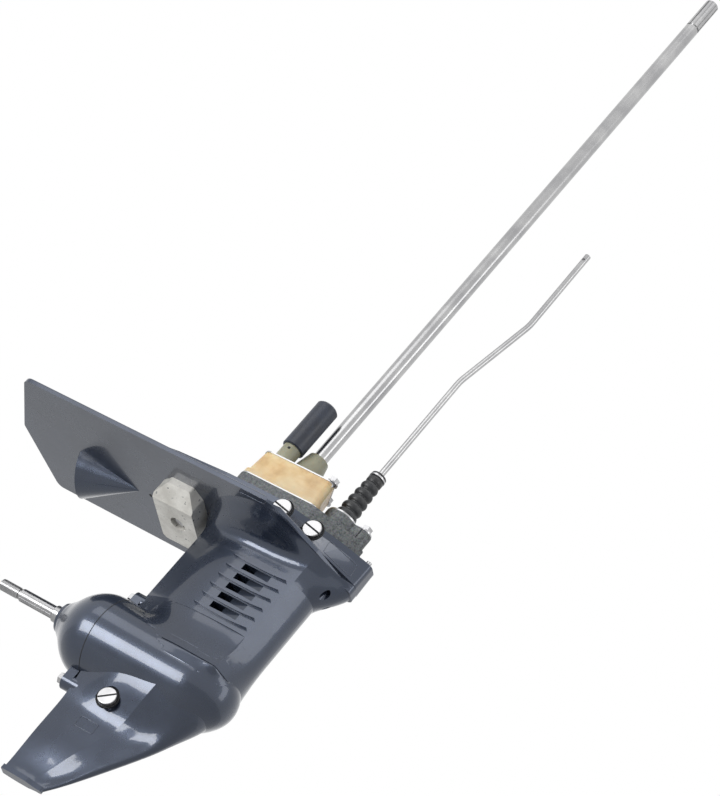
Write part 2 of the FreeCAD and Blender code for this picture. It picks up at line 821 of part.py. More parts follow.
def spline_grooves(radius, depth, count, start, end, direction):
    """Square grooves along a shaft end, about Z or about the gear axis."""
    width = 2 * math.pi * radius / count * spline_groove_share
    if direction == "z":
        groove = box(radius - depth, radius + 2, -width / 2, width / 2, start, end)
        return turned_copies(groove, count, V(0, 0, 0), V(0, 0, 1))
    groove = box(start, end, -width / 2, width / 2, axis_z + radius - depth, axis_z + radius + 2)
    return turned_copies(groove, count, V(0, 0, axis_z), V(1, 0, 0))


def drive_shaft():
    """The long upright shaft, splined at its top and stepped for the pinion."""
    seat = axis_z + pinion_hub_top
    foot = axis_z + pinion_bottom - pinion_nut_height - 0.8
    top = drive_shaft_top
    radius = drive_shaft_radius
    spline_low = top - drive_spline_length
    relief = radius - drive_spline_depth
    profile = [(0, foot), (pinion_seat_radius - 0.6, foot), (pinion_seat_radius, foot + 0.6),
               (pinion_seat_radius, seat), (radius, seat), (radius, spline_low - relief_width),
               (relief, spline_low - relief_width), (relief, spline_low), (radius, spline_low),
               (radius, top - drive_tip_chamfer), (radius - drive_tip_chamfer, top), (0, top)]
    shaft = turned_z(profile)
    grooves = spline_grooves(drive_shaft_radius, drive_spline_depth, drive_spline_teeth,
                             spline_low - 1, top + 1, "z")
    key_slot = box(drive_shaft_radius - 2.0, drive_shaft_radius + 1, -1.6, 1.6, impeller_middle() - key_length / 2,
                   impeller_middle() + key_length / 2)
    return shaft.cut(Part.makeCompound(grooves)).cut(key_slot)


def shaft_aft_face():
    """Where the propeller shaft leaves the cap."""
    return seam_x - cap_dome_length


def collar_front():
    return -(rear_bearing_start + rear_bearing_length + 1) - free_gap


def propeller_shaft():
    """From the forward gear's bore aft through the cap to its spline and threaded end."""
    collar_aft = collar_front() - shaft_collar_width
    face = shaft_aft_face()
    spline_start = face - shoulder_length
    spline_end = spline_start - propeller_spline_length
    neck_end = spline_end - neck_length
    tip = neck_end - propeller_thread_length
    profile = [
        (shaft_front, 0), (shaft_front, propeller_shaft_radius), (collar_front(), propeller_shaft_radius),
        (collar_front(), shaft_collar_radius), (collar_aft, shaft_collar_radius), (collar_aft, bearing_shaft_radius),
        (face, bearing_shaft_radius), (face, shoulder_radius), (spline_start, shoulder_radius),
        (spline_start - 1.5, propeller_spline_radius), (spline_end, propeller_spline_radius),
        (spline_end, neck_radius), (neck_end, neck_radius), (neck_end, propeller_thread_radius),
        (tip + 1, propeller_thread_radius), (tip, propeller_thread_radius - 1), (tip, 0)]
    shaft = turned_x(profile)
    grooves = spline_grooves(propeller_spline_radius, propeller_spline_depth, propeller_spline_teeth,
                             spline_end - 1, spline_start - 1.5, "x")
    slot_half = clutch_pin_radius + shift_travel * clutch_ratio + free_gap
    slot = box(-slot_half, slot_half, -20, 20, axis_z - clutch_pin_radius - free_gap,
               axis_z + clutch_pin_radius + free_gap)
    bore = cylinder_x(plunger_radius + running_fit, plunger_tail - 4, shaft_front + 1)
    return shaft.cut(Part.makeCompound(grooves)).cut(slot).cut(bore)


def dog_clutch():
    """The sliding ring with dogs on both faces and a groove for its spring ring."""
    bore = propeller_shaft_radius + running_fit
    half = clutch_half_body
    body = turned_local([
        (bore, -half), (clutch_radius, -half), (clutch_radius, -1.4), (clutch_radius - clutch_ring_groove, -1.4),
        (clutch_radius - clutch_ring_groove, 1.4), (clutch_radius, 1.4), (clutch_radius, half), (bore, half)])
    front = dog_teeth(dog_inner_radius(), clutch_radius, half - 0.5, half + dog_height, 0)
    back = dog_teeth(dog_inner_radius(), clutch_radius, -half - dog_height, 0.5 - half, 0)
    ring = placed_on_axis(joined([body] + front + back), 1)
    return ring.cut(cylinder_y(clutch_pin_radius + static_fit, -20, 20, 0, axis_z))


def clutch_cross_pin():
    reach = clutch_radius - clutch_ring_groove - 0.4
    return cylinder_y(clutch_pin_radius, -reach, reach, 0, axis_z)


def clutch_spring_ring():
    """The wire ring that lies in the clutch's groove and keeps the cross pin in."""
    inner = clutch_radius - clutch_ring_groove + static_fit
    return ring_x(clutch_radius, inner, -1.2, 1.2)


def shift_plunger():
    """The rod inside the propeller shaft, with a domed nose that follows the cam."""
    body = cylinder_x(plunger_radius, plunger_tail, plunger_tip - plunger_radius)
    nose = Part.makeSphere(plunger_radius, V(plunger_tip - plunger_radius, 0, axis_z))
    plunger = body.fuse(nose)
    return plunger.cut(cylinder_y(clutch_pin_radius + static_fit, -20, 20, 0, axis_z))


def bearing_pair(inner, outer, x0, x1, rollers):
    """Outer ring, and the inner ring with its rollers or balls, about the gear axis."""
    inner_land = inner + bearing_ring
    outer_land = outer - bearing_ring
    outer_ring = ring_x(outer, outer_land, x0, x1)
    inner_ring = ring_x(inner_land, inner + static_fit, x0, x1)
    middle = (inner_land + outer_land) / 2
    size = (outer_land - inner_land) / 2 - static_fit
    moving = [inner_ring]
    if rollers:
        roller = cylinder_x(size, x0 + 2, x1 - 2, 0, axis_z + middle)
        moving += turned_copies(roller, roller_count, V(0, 0, axis_z), V(1, 0, 0))
    else:
        ball = Part.makeSphere(size, V((x0 + x1) / 2, 0, axis_z + middle))
        moving += turned_copies(ball, ball_count, V(0, 0, axis_z), V(1, 0, 0))
    return outer_ring, moving


def cap_spigot_front():
    return seam_x + spigot_length


def propeller_shaft_cap():
    """The domed aft cap: spigot, bearing seats and two bolted ears."""
    face = shaft_aft_face()
    bulge = cap_dome_length
    profile = [V(seam_x, 0, axis_z + torpedo_radius), V(seam_x - bulge * 0.28, 0, axis_z + torpedo_radius * 0.98),
               V(seam_x - bulge * 0.60, 0, axis_z + torpedo_radius * 0.78),
               V(seam_x - bulge * 0.84, 0, axis_z + torpedo_radius * 0.49), V(face + 3, 0, axis_z + cap_face_radius)]
    spline = Part.BSplineCurve()
    spline.interpolate(Points=profile, InitialTangent=V(-1, 0, 0), FinalTangent=V(-0.8, 0, -1.0))
    rim = V(face, 0, axis_z + cap_face_radius - 1.0)
    centre_aft = V(face, 0, axis_z)
    centre_front = V(seam_x, 0, axis_z)
    edges = [
        spline.toShape(),
        Part.LineSegment(profile[-1], rim).toShape(),
        Part.LineSegment(rim, centre_aft).toShape(),
        Part.LineSegment(centre_aft, centre_front).toShape(),
        Part.LineSegment(centre_front, profile[0]).toShape(),
    ]
    dome = Part.Face(Part.Wire(edges)).revolve(V(0, 0, axis_z), V(1, 0, 0), 360)
    spigot = cylinder_x(spigot_radius, seam_x - 1, cap_spigot_front())
    ears = []
    for height in (top_ear_height, -bottom_ear_depth):
        middle = axis_z + height
        ear = cylinder_x(cap_ear_radius, seam_x - cap_ear_length, seam_x, 0, middle)
        low, high = sorted((middle, axis_z + height * 0.55))
        web = box(seam_x - cap_ear_length, seam_x, -cap_ear_radius, cap_ear_radius, low, high)
        ears += [ear, web]
    solid = joined([dome, spigot] + ears)
    rear_seat = -(rear_bearing_start + rear_bearing_length)
    cuts = [
        cylinder_x(rear_bearing_outer_radius + static_fit, rear_seat, cap_spigot_front() + 1),
        cylinder_x(shaft_collar_radius + 2.5, collar_front() - shaft_collar_width - free_gap, rear_seat + 1),
        cylinder_x(bearing_shaft_radius + 3.0 + static_fit, face + seal_length + 1.5, rear_seat),
        cylinder_x(seal_outer_radius + static_fit, face - 1, face + seal_length),
        cylinder_x(bearing_shaft_radius + 1.0, face - 1, 0),
        ring_x(spigot_radius + 1, spigot_radius - 2 * o_ring_radius + 0.4, seam_x + 5, seam_x + 5 + 2.4 * o_ring_radius),
    ]
    for height in (top_ear_height, -bottom_ear_depth):
        cuts.append(cylinder_x(cap_bolt_radius + static_fit, seam_x - 20, seam_x + 1, 0, axis_z + height))
    for cut in cuts:
        solid = solid.cut(cut)
    return solid


def cap_o_ring():
    middle = seam_x + 5 + 1.2 * o_ring_radius
    inner = spigot_radius - 2 * o_ring_radius + 0.4 + static_fit
    return ring_x(spigot_radius, inner, middle - o_ring_radius, middle + o_ring_radius)


def cap_bolts():
    bolts = []
    face = seam_x - cap_ear_length
    for height in (top_ear_height, -bottom_ear_depth):
        z = axis_z + height
        shank = cylinder_x(cap_bolt_radius, face - 0.1, seam_x + 15, 0, z)
        washer = cylinder_x(washer_radius, face - washer_thickness, face, 0, z)
        head = hex_prism(hex_head_width, hex_head_height, V(face - washer_thickness, 0, z), V(-1, 0, 0))
        bolts.append(joined([shank, washer, head]))
    return bolts


def propeller_shaft_seals():
    face = shaft_aft_face()
    seals = []
    half = seal_length / 2
    for i in range(2):
        start = face + 0.6 + i * half
        seals.append(ring_x(seal_outer_radius, bearing_shaft_radius + running_fit, start, start + half - 0.8))
    return seals


def propeller_shaft_bush():
    start = shaft_aft_face() + seal_length + 2.0
    end = -(rear_bearing_start + rear_bearing_length) - 8.0
    return ring_x(bearing_shaft_radius + 3.0, bearing_shaft_radius + running_fit, start, end)


def housing_points():
    """Plan of the oil seal housing, from the aft starboard corner round by the bow."""
    return [(-38, -31), (46, -31), (86, -14), (91, 4), (84, 14), (42, 24), (10, 35), (-34, 35)]


def housing_outline(z, grow=0.0):
    """Outline of the housing, widened by about grow for the recess that it sits in."""
    middle = (20.0, 0.0)
    points = []
    for x, y in housing_points():
        away = math.hypot(x - middle[0], y - middle[1])
        share = 1 + 1.6 * grow / away
        points.append((middle[0] + (x - middle[0]) * share, middle[1] + (y - middle[1]) * share))
    return rounded_outline(points, [9, 16, 8, 6, 6, 20, 12, 10], z)


def oil_seal_housing():
    """Bare casting let into the deck: it carries the shaft seals and the pump, and the boss for the boot."""
    base = prism(housing_outline(-seat_depth), housing_height + seat_depth)
    boss = cylinder_z(boot_boss_radius, 0, boss_height, rod_x)
    screw_boss = cylinder_z(8.0, 0, boss_height, plate_screw_x, plate_screw_y)
    web = box(rod_x, plate_screw_x, plate_screw_y - 9, plate_screw_y + 6, 0, boss_height)
    solid = joined([base, boss, screw_boss, web])
    under = -seat_depth - 1
    solid = solid.cut(cylinder_z(seal_bore_radius + static_fit, under, housing_height - 2.5))
    solid = solid.cut(cylinder_z(drive_shaft_radius + 1.0, under, housing_height + 1))
    solid = solid.cut(cylinder_z(rod_bush_radius() + static_fit, under, boss_height + 1, rod_x))
    solid = solid.cut(cylinder_z(boot_flange_radius + static_fit, boss_height - 2.6, boss_height + 1, rod_x))
    port_end = intake_window_aft + intake_window_length
    passage = box(intake_window_aft, port_end, -9, 9, under, housing_height + 1)
    solid = solid.cut(passage)
    for x, y in pump_bolt_places():
        solid = solid.cut(cylinder_z(pump_bolt_radius + static_fit, under, housing_height + 1, x, y))
    screw_hole = cylinder_z(pump_bolt_radius + static_fit, under, boss_height + 1, plate_screw_x, plate_screw_y)
    return solid.cut(screw_hole)


def rod_bush_radius():
    return rod_radius + 3.4


def shift_rod_bush():
    """Guide bush and seal for the rod inside the boss."""
    return ring_z(rod_bush_radius(), rod_radius + running_fit, 2, boss_height - 3, rod_x)


def drive_shaft_oil_seals():
    return [ring_z(seal_bore_radius, drive_shaft_radius + running_fit, low, low + 4.6) for low in (1.2, 6.6)]


def top_bearing():
    """Roller bearing under the oil seal housing, as an outer ring and the moving ring with rollers."""
    high = -seat_depth - free_gap
    low = high - top_bearing_length
    inner_land = drive_shaft_radius + 2.4
    outer_land = top_bearing_outer_radius - 2.6
    outer_ring = ring_z(top_bearing_outer_radius, outer_land, low, high)
    inner_ring = ring_z(inner_land, drive_shaft_radius + static_fit, low, high)
    size = (outer_land - inner_land) / 2 - static_fit
    roller = cylinder_z(size, low + 1, high - 1, (inner_land + outer_land) / 2)
    return outer_ring, [inner_ring] + turned_copies(roller, roller_count, V(0, 0, 0), V(0, 0, 1))


def pump_points(grow=0.0):
    """Plan of the water pump: a rounded triangle, long on the starboard side."""
    g = grow
    return [(-37 - g, -29 - g), (46 + g, -29 - g), (30 + g, 17 + g), (6, 31 + g), (-32 - g, 31 + g)]


def pump_outline(z, grow=0.0):
    return rounded_outline(pump_points(grow), [9, 6, 12, 14, 10], z)


def pump_bolt_places():
    return [(-31.5, -6.0), (38.0, -22.0), (25.4, 11.8), (-25.5, 22.2)]


def gasket_low():
    return housing_height


def wear_plate_low():
    return gasket_low() + gasket_thickness


def pump_low():
    return wear_plate_low() + wear_plate_thickness


def flat_pump_sheet(low, thickness, grow):
    sheet = prism(pump_outline(low, grow), thickness)
    sheet = sheet.cut(cylinder_z(drive_shaft_radius + 1.0, low - 1, low + thickness + 1))
    port = box(intake_window_aft, intake_window_aft + 6, -6, 6, low - 1, low + thickness + 1)
    sheet = sheet.cut(port)
    for x, y in pump_bolt_places():
        sheet = sheet.cut(cylinder_z(pump_bolt_radius + static_fit, low - 1, low + thickness + 1, x, y))
    return sheet


def pump_gasket():
    return flat_pump_sheet(gasket_low(), gasket_thickness, 0.8)


def pump_wear_plate():
    return flat_pump_sheet(wear_plate_low(), wear_plate_thickness, 1.2)


def pump_housing():
    """Moulded housing: flange, body, hump round the shaft and the outlet with its spigot."""
    low = pump_low()
    flange = prism(pump_outline(low, 0.9), pump_flange_height)
    foot = pump_outline(low + pump_flange_height - 0.5, -0.6)
    crown = pump_outline(pump_body_top, -pump_skirt)
    body = Part.makeLoft([foot, crown], True, True)
    lift = pump_body_top + top_plate_thickness
    hump = Part.makeCone(hump_base_radius, hump_top_radius, hump_top - pump_body_top + 2, V(0, 0, pump_body_top - 2))
    outlet = cylinder_z(outlet_radius, pump_body_top - 2, outlet_top, outlet_x, outlet_y)
    spigot = cylinder_z(outlet_spigot_radius, outlet_top - 1, outlet_top + outlet_spigot_height, outlet_x, outlet_y)
    solid = joined([flange, body, hump, outlet, spigot])
    cup = pump_cup_radius + pump_cup_wall + static_fit
    cup_top = low + pump_cup_height + pump_cup_wall + static_fit
    solid = solid.cut(cylinder_z(cup, low - 1, cup_top, pump_cup_offset))
    solid = solid.cut(cylinder_z(drive_shaft_radius + 1.2, low - 1, hump_top + 1))
    duct = cylinder_z(outlet_spigot_radius - 2.0, cup_top - 1, outlet_top + outlet_spigot_height + 1, outlet_x, outlet_y)
    solid = solid.cut(duct)
    solid = solid.cut(box(outlet_x - 3, outlet_x + 12, outlet_y - 4, outlet_y + 8, cup_top - 1, cup_top + 6))
    for x, y in pump_bolt_places():
        solid = solid.cut(cylinder_z(pump_bolt_radius + static_fit, low - 1, lift + 1, x, y))
    return solid


def pump_insert_cup():
    """Steel cup that the impeller turns in, open below."""
    low = pump_low()
    top = low + pump_cup_height
    outer = cylinder_z(pump_cup_radius + pump_cup_wall, low, top + pump_cup_wall, pump_cup_offset)
    cup = outer.cut(cylinder_z(pump_cup_radius, low - 1, top, pump_cup_offset))
    cup = cup.cut(cylinder_z(drive_shaft_radius + 1.0, low, top + 5))
    slot = box(outlet_x - 2, outlet_x + 9, outlet_y - 3, outlet_y + 8, top - 1, top + pump_cup_wall + 1)
    return cup.cut(slot)


def pump_top_plate():
    """Thin steel plate that stiffens the top of the housing."""
    low = pump_body_top
    sheet = prism(pump_outline(low, 0.4 - pump_skirt), top_plate_thickness)
    sheet = sheet.cut(cylinder_z(hump_base_radius + 0.2, low - 1, low + 5))
    sheet = sheet.cut(cylinder_z(outlet_radius + 0.3, low - 1, low + 5, outlet_x, outlet_y))
    for x, y in pump_bolt_places():
        sheet = sheet.cut(cylinder_z(pump_bolt_radius + static_fit, low - 1, low + 5, x, y))
    return sheet


def upright_bolt(x, y, seat, length):
    shank = cylinder_z(pump_bolt_radius, seat - length, seat + 0.1, x, y)
    washer = cylinder_z(washer_radius, seat, seat + washer_thickness, x, y)
    head = hex_prism(hex_head_width, hex_head_height, V(x, y, seat + washer_thickness), V(0, 0, 1))
    return joined([shank, washer, head])


def pump_bolts():
    seat = pump_body_top + top_plate_thickness
    return [upright_bolt(x, y, seat, seat + 12) for x, y in pump_bolt_places()]


def water_tube_grommet():
    """Thick rubber sleeve that takes the water tube, pushed over the pump's outlet."""
    low = outlet_top
    top = low + tube_length
    fitted = outlet_spigot_radius + static_fit
    step = low + outlet_spigot_height + free_gap
    sleeve = turned_z([
        (fitted, low), (tube_radius - 0.8, low), (tube_radius, low + 0.8), (tube_radius, top - 1.6),
        (tube_radius - 1.6, top), (tube_bore_radius, top), (tube_bore_radius, step), (fitted, step)],
        outlet_x, outlet_y)
    return sleeve


def impeller_low():
    return pump_low() + 0.6


def impeller_middle():
    return impeller_low() + impeller_height / 2


def impeller():
    """Rubber impeller with swept vanes, keyed to the drive shaft."""
    low = impeller_low()
    hub = cylinder_z(impeller_hub_radius, low, low + impeller_height)
    vane = box(impeller_hub_radius - 2, impeller_radius, -vane_thickness / 2, vane_thickness / 2, low,
               low + impeller_height)
    tip = cylinder_z(vane_thickness * 0.75, low, low + impeller_height, impeller_radius - vane_thickness * 0.75)
    solid = joined([hub] + turned_copies(vane.fuse(tip), impeller_vanes, V(0, 0, 0), V(0, 0, 1)))
    solid = solid.cut(cylinder_z(drive_shaft_radius + static_fit, low - 1, low + impeller_height + 1))
    keyway = box(drive_shaft_radius - 1, drive_shaft_radius + 1.6, -1.55, 1.55, low - 1, low + impeller_height + 1)
    return solid.cut(keyway)


def impeller_key():
    middle = impeller_middle()
    half = key_length / 2 - static_fit
    return box(drive_shaft_radius - 2.0 + static_fit, drive_shaft_radius + 1.5, -1.5, 1.5, middle - half, middle + half)


def shift_rod():
    """Steel rod with a jog to the bow, made of straight runs and tangent arcs."""
    z0 = axis_z - 4
    low = V(rod_x, 0, z0)
    first = V(rod_x, 0, rod_jog_low)
    second = V(rod_x + rod_jog_reach, 0, rod_jog_high)
    top = V(rod_x + rod_jog_reach, 0, rod_top)
    lean = math.atan2(rod_jog_reach, rod_jog_high - rod_jog_low)
    reach = rod_bend_radius * math.tan(lean / 2)
    slope = (second - first).normalize()
    arc_middle = rod_bend_radius / math.cos(lean / 2) - rod_bend_radius
    toward = (slope - V(0, 0, 1)).normalize()
    edges = [
        Part.LineSegment(low, first - V(0, 0, reach)).toShape(),
        Part.Arc(first - V(0, 0, reach), first + toward * arc_middle, first + slope * reach).toShape(),
        Part.LineSegment(first + slope * reach, second - slope * reach).toShape(),
        Part.Arc(second - slope * reach, second - toward * arc_middle, second + V(0, 0, reach)).toShape(),
        Part.LineSegment(second + V(0, 0, reach), top).toShape(),
    ]
    path = Part.Wire(edges)
    circle = Part.Wire(Part.Circle(low, V(0, 0, 1), rod_radius).toShape())
    rod = path.makePipeShell([circle], True, False)
    return rod.cut(cylinder_y(1.3, -5, 5, rod_x + rod_jog_reach, rod_top - 7))


def cam_face_x(z):
    """The cam's ramp, which keeps a small clearance to the plunger's nose."""
    return plunger_tip + free_gap + 0.05 * plunger_radius - clutch_ratio * z


def shift_cam():
    """Ramped cam on the foot of the rod: it drives the plunger as the rod rises and falls."""
    low = -cam_half_height
    high = cam_half_height
    back = rod_x + cam_back
    profile = [V(cam_face_x(low), 0, axis_z + low), V(back, 0, axis_z + low), V(back, 0, axis_z + high),
               V(cam_face_x(high), 0, axis_z + high), V(cam_face_x(low), 0, axis_z + low)]
    face = Part.Face(Part.makePolygon(profile))
    face.translate(V(0, -cam_half_width, 0))
    cam = face.extrude(V(0, 2 * cam_half_width, 0))
    return cam.cut(cylinder_z(rod_radius + static_fit, axis_z - 4, axis_z + 30, rod_x))


def shift_rod_boot():
    """Bellows boot: flange in the boss, folds up to a collar on the rod."""
    low = boss_height - 2.6
    base = boss_height + boot_plate_thickness + 0.3
    inner = rod_radius + 1.4
    profile = [(inner, low), (boot_flange_radius, low), (boot_flange_radius, boss_height - 0.1),
               (boot_base_radius - boot_fold_depth, boss_height - 0.1), (boot_base_radius - boot_fold_depth, base)]
    collar = 11.0
    fold = (boot_length - collar) / boot_folds
    for i in range(boot_folds):
        share = i / float(boot_folds - 1)
        crest = boot_base_radius + (boot_top_radius + 0.8 - boot_base_radius) * share
        start = base + fold * i
        profile += [(crest - boot_fold_depth * 0.2, start + fold * 0.22), (crest, start + fold * 0.42),
                    (crest - boot_fold_depth * 0.2, start + fold * 0.64),
                    (crest - boot_fold_depth, start + fold * 0.86)]
    top = base + boot_length
    profile += [(boot_top_radius, top - collar + 1.2), (boot_top_radius, top - 4.4), (boot_top_radius - 0.7, top - 4.1),
                (boot_top_radius - 0.7, top - 2.3), (boot_top_radius, top - 2.0), (boot_top_radius - 0.6, top),
                (rod_radius + static_fit, top), (rod_radius + static_fit, top - collar + 2.0),
                (inner, top - collar)]
    return turned_z(profile, rod_x)


def boot_top():
    return boss_height + boot_plate_thickness + 0.3 + boot_length


def boot_clamp_ring():
    """Wire ring round the boot's collar."""
    top = boot_top()
    return ring_z(boot_top_radius + 0.3, boot_top_radius - 0.7 + static_fit, top - 4.0, top - 2.4, rod_x)


def boot_retainer_plate():
    """Flat plate that holds the boot's flange down on the boss."""
    low = boss_height
    lobe = cylinder_z(boot_boss_radius - 0.4, low, low + boot_plate_thickness, rod_x)
    ear = cylinder_z(7.4, low, low + boot_plate_thickness, plate_screw_x, plate_screw_y)
    web = box(rod_x, plate_screw_x, plate_screw_y - 8, plate_screw_y + 6, low, low + boot_plate_thickness)
    plate = joined([lobe, ear, web])
    plate = plate.cut(cylinder_z(boot_base_radius - boot_fold_depth + 0.3, low - 1, low + 5, rod_x))
    return plate.cut(cylinder_z(pump_bolt_radius + static_fit, low - 1, low + 5, plate_screw_x, plate_screw_y))


def retainer_bolt():
    seat = boss_height + boot_plate_thickness
    return upright_bolt(plate_screw_x, plate_screw_y, seat, seat + 10)


def dowel_pins():
    return [cylinder_z(dowel_radius, -dowel_height, dowel_height, x, y) for x, y in dowel_places()]


def anode():
    """Sacrificial block under the plate, with sloped ends and a counterbored bolt hole."""
    top = plate_underside
    low = top - anode_depth
    half = anode_half_width
    profile = [V(anode_rear_x, -half, top), V(anode_rear_x, -half, top - anode_depth * 0.35),
               V(anode_rear_x, -half * 0.62, low), V(anode_rear_x, half * 0.80, low),
               V(anode_rear_x, half, top - anode_depth * 0.5), V(anode_rear_x, half, top),
               V(anode_rear_x, -half, top)]
    block = Part.Face(Part.makePolygon(profile)).extrude(V(anode_front_x - anode_rear_x, 0, 0))
    plan = rounded_outline([(anode_rear_x, -half * 0.72), (anode_rear_x + 12, -half), (anode_front_x - 8, -half),
                            (anode_front_x, -half * 0.7), (anode_front_x, half * 0.42),
                            (anode_front_x - 16, half), (anode_rear_x + 12, half), (anode_rear_x, half * 0.72)],
                           [3] * 8, low - 1)
    block = block.common(prism(plan, anode_depth + 2))
    block = block.cut(cylinder_z(cap_bolt_radius + 0.4, low - 1, top + 1, anode_bolt_x))
    return block.cut(cylinder_z(washer_radius + 2.4, low - 1, low + 8, anode_bolt_x))


def anode_bolt():
    seat = plate_underside - anode_depth + 8
    shank = cylinder_z(cap_bolt_radius, seat - 0.1, plate_underside + 13, anode_bolt_x)
    washer = cylinder_z(washer_radius, seat - washer_thickness, seat, anode_bolt_x)
    head = hex_prism(hex_head_width, hex_head_height, V(anode_bolt_x, 0, seat - washer_thickness), V(0, 0, -1))
    return joined([shank, washer, head])


def drive_shaft_bush():
    return ring_z(bush_outer_radius(), drive_shaft_radius + running_fit, bush_bottom(), bush_top())


def write_part(name, shape):
    """Writes one sub-part: a solid, or a group of separate solids."""
    group = shape if isinstance(shape, list) else [shape]
    solids = []
    for item in group:
        solids += item.Solids
    whole = solids[0] if len(solids) == 1 else Part.makeCompound(solids)
    whole.exportStep(os.path.join("parts", name + ".step"))


def build_all():
    places = plug_places()
    front_cup, front_cone = bearing_pair(gear_hub_radius, front_bearing_outer_radius, front_bearing_start,
                                         front_bearing_start + front_bearing_length, True)
    rear_outer, rear_inner = bearing_pair(gear_hub_radius, rear_bearing_outer_radius,
                                          -rear_bearing_start - rear_bearing_length, -rear_bearing_start, False)
    top_outer, top_inner = top_bearing()
    parts = {
        "gearcase": gearcase(),
        "propeller_shaft_cap": propeller_shaft_cap(),
        "cap_bolts": cap_bolts(),
        "cap_o_ring": cap_o_ring(),
        "propeller_shaft_seals": propeller_shaft_seals(),
        "propeller_shaft_bush": propeller_shaft_bush(),
        "reverse_bearing_outer": rear_outer,
        "reverse_bearing_inner": rear_inner,
        "forward_bearing_cup": front_cup,
        "forward_bearing_cone": front_cone,
        "forward_gear": forward_gear(),
        "reverse_gear": reverse_gear(),
        "pinion_gear": pinion_gear(),
        "pinion_nut": pinion_nut(),
        "propeller_shaft": propeller_shaft(),
        "dog_clutch": dog_clutch(),
        "clutch_cross_pin": clutch_cross_pin(),
        "clutch_spring_ring": clutch_spring_ring(),
        "shift_plunger": shift_plunger(),
        "shift_cam": shift_cam(),
        "shift_rod": shift_rod(),
        "shift_rod_bush": shift_rod_bush(),
        "shift_rod_boot": shift_rod_boot(),
        "boot_clamp_ring": boot_clamp_ring(),
        "boot_retainer_plate": boot_retainer_plate(),
        "retainer_bolt": retainer_bolt(),
        "drive_shaft": drive_shaft(),
        "drive_shaft_bush": drive_shaft_bush(),
        "drive_shaft_oil_seals": drive_shaft_oil_seals(),
        "top_bearing_outer": top_outer,
        "top_bearing_inner": top_inner,
        "oil_seal_housing": oil_seal_housing(),
        "dowel_pins": dowel_pins(),
        "pump_gasket": pump_gasket(),
        "pump_wear_plate": pump_wear_plate(),
        "pump_housing": pump_housing(),
        "pump_insert_cup": pump_insert_cup(),
        "pump_top_plate": pump_top_plate(),
        "pump_bolts": pump_bolts(),
        "water_tube_grommet": water_tube_grommet(),
        "impeller": impeller(),
        "impeller_key": impeller_key(),
        "oil_level_plug": plug(places["oil_level_plug"]),
        "flushing_plug": plug(places["flushing_plug"]),
        "oil_drain_plug": plug(places["oil_drain_plug"]),
        "plug_gaskets": [plug_gasket(p) for p in places.values()],
        "anode": anode(),
        "anode_bolt": anode_bolt(),
    }
    os.makedirs("parts", exist_ok=True)
    for name, shape in parts.items():
        write_part(name, shape)
    return parts


build_all()
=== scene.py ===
import json
import math

import bmesh
import bpy
from mathutils import Matrix, Vector
from mathutils.bvhtree import BVHTree


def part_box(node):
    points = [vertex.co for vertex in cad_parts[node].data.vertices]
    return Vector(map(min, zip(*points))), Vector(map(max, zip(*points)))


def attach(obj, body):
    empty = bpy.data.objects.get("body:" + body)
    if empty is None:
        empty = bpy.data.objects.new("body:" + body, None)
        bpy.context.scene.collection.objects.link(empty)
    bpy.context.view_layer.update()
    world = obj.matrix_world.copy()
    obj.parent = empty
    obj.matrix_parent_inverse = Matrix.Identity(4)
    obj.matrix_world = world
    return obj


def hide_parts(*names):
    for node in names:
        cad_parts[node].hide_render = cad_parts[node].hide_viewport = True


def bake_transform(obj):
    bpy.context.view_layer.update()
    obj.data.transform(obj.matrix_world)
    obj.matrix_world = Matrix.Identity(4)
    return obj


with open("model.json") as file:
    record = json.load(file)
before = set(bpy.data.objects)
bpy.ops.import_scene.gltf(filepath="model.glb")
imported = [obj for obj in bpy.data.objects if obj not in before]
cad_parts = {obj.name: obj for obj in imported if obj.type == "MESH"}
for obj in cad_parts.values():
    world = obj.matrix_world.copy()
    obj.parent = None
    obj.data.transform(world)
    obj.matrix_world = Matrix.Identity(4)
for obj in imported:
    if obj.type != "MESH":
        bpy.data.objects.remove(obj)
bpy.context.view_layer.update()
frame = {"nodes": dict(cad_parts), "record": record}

# The row frame in metres: X to the bow, Y to port, Z up, the origin in the joint face
MM = 0.001
CASE = "gearcase_body"
nodes = frame["nodes"]

# Sizes in mm that the added pieces share with the solids
AXIS_HEIGHT = -175.5
SEAM_X = -38.0
TORPEDO_RADIUS = 40.0
ROD_X = 57.0
ROD_BORE = 3.05
FLOOR_HEIGHT = -1600.0

# Camera, fitted to the photograph
CAMERA_RIGHT = Vector((0.8064, 0.1216, 0.5788))
CAMERA_UP = Vector((-0.3827, -0.6387, 0.6675))
CAMERA_AHEAD = Vector((-0.4509, 0.7598, 0.4685))
CAMERA_PLACE = Vector((1.1159, -1.8979, -1.0189))
CAMERA_LENS = 126.05
SENSOR_WIDTH = 36.0
PHOTO_WIDTH, PHOTO_HEIGHT = 720, 796
FOCAL_PIXELS = CAMERA_LENS / SENSOR_WIDTH * PHOTO_HEIGHT


def mm(x, y, z):
    return Vector((x * MM, y * MM, z * MM))


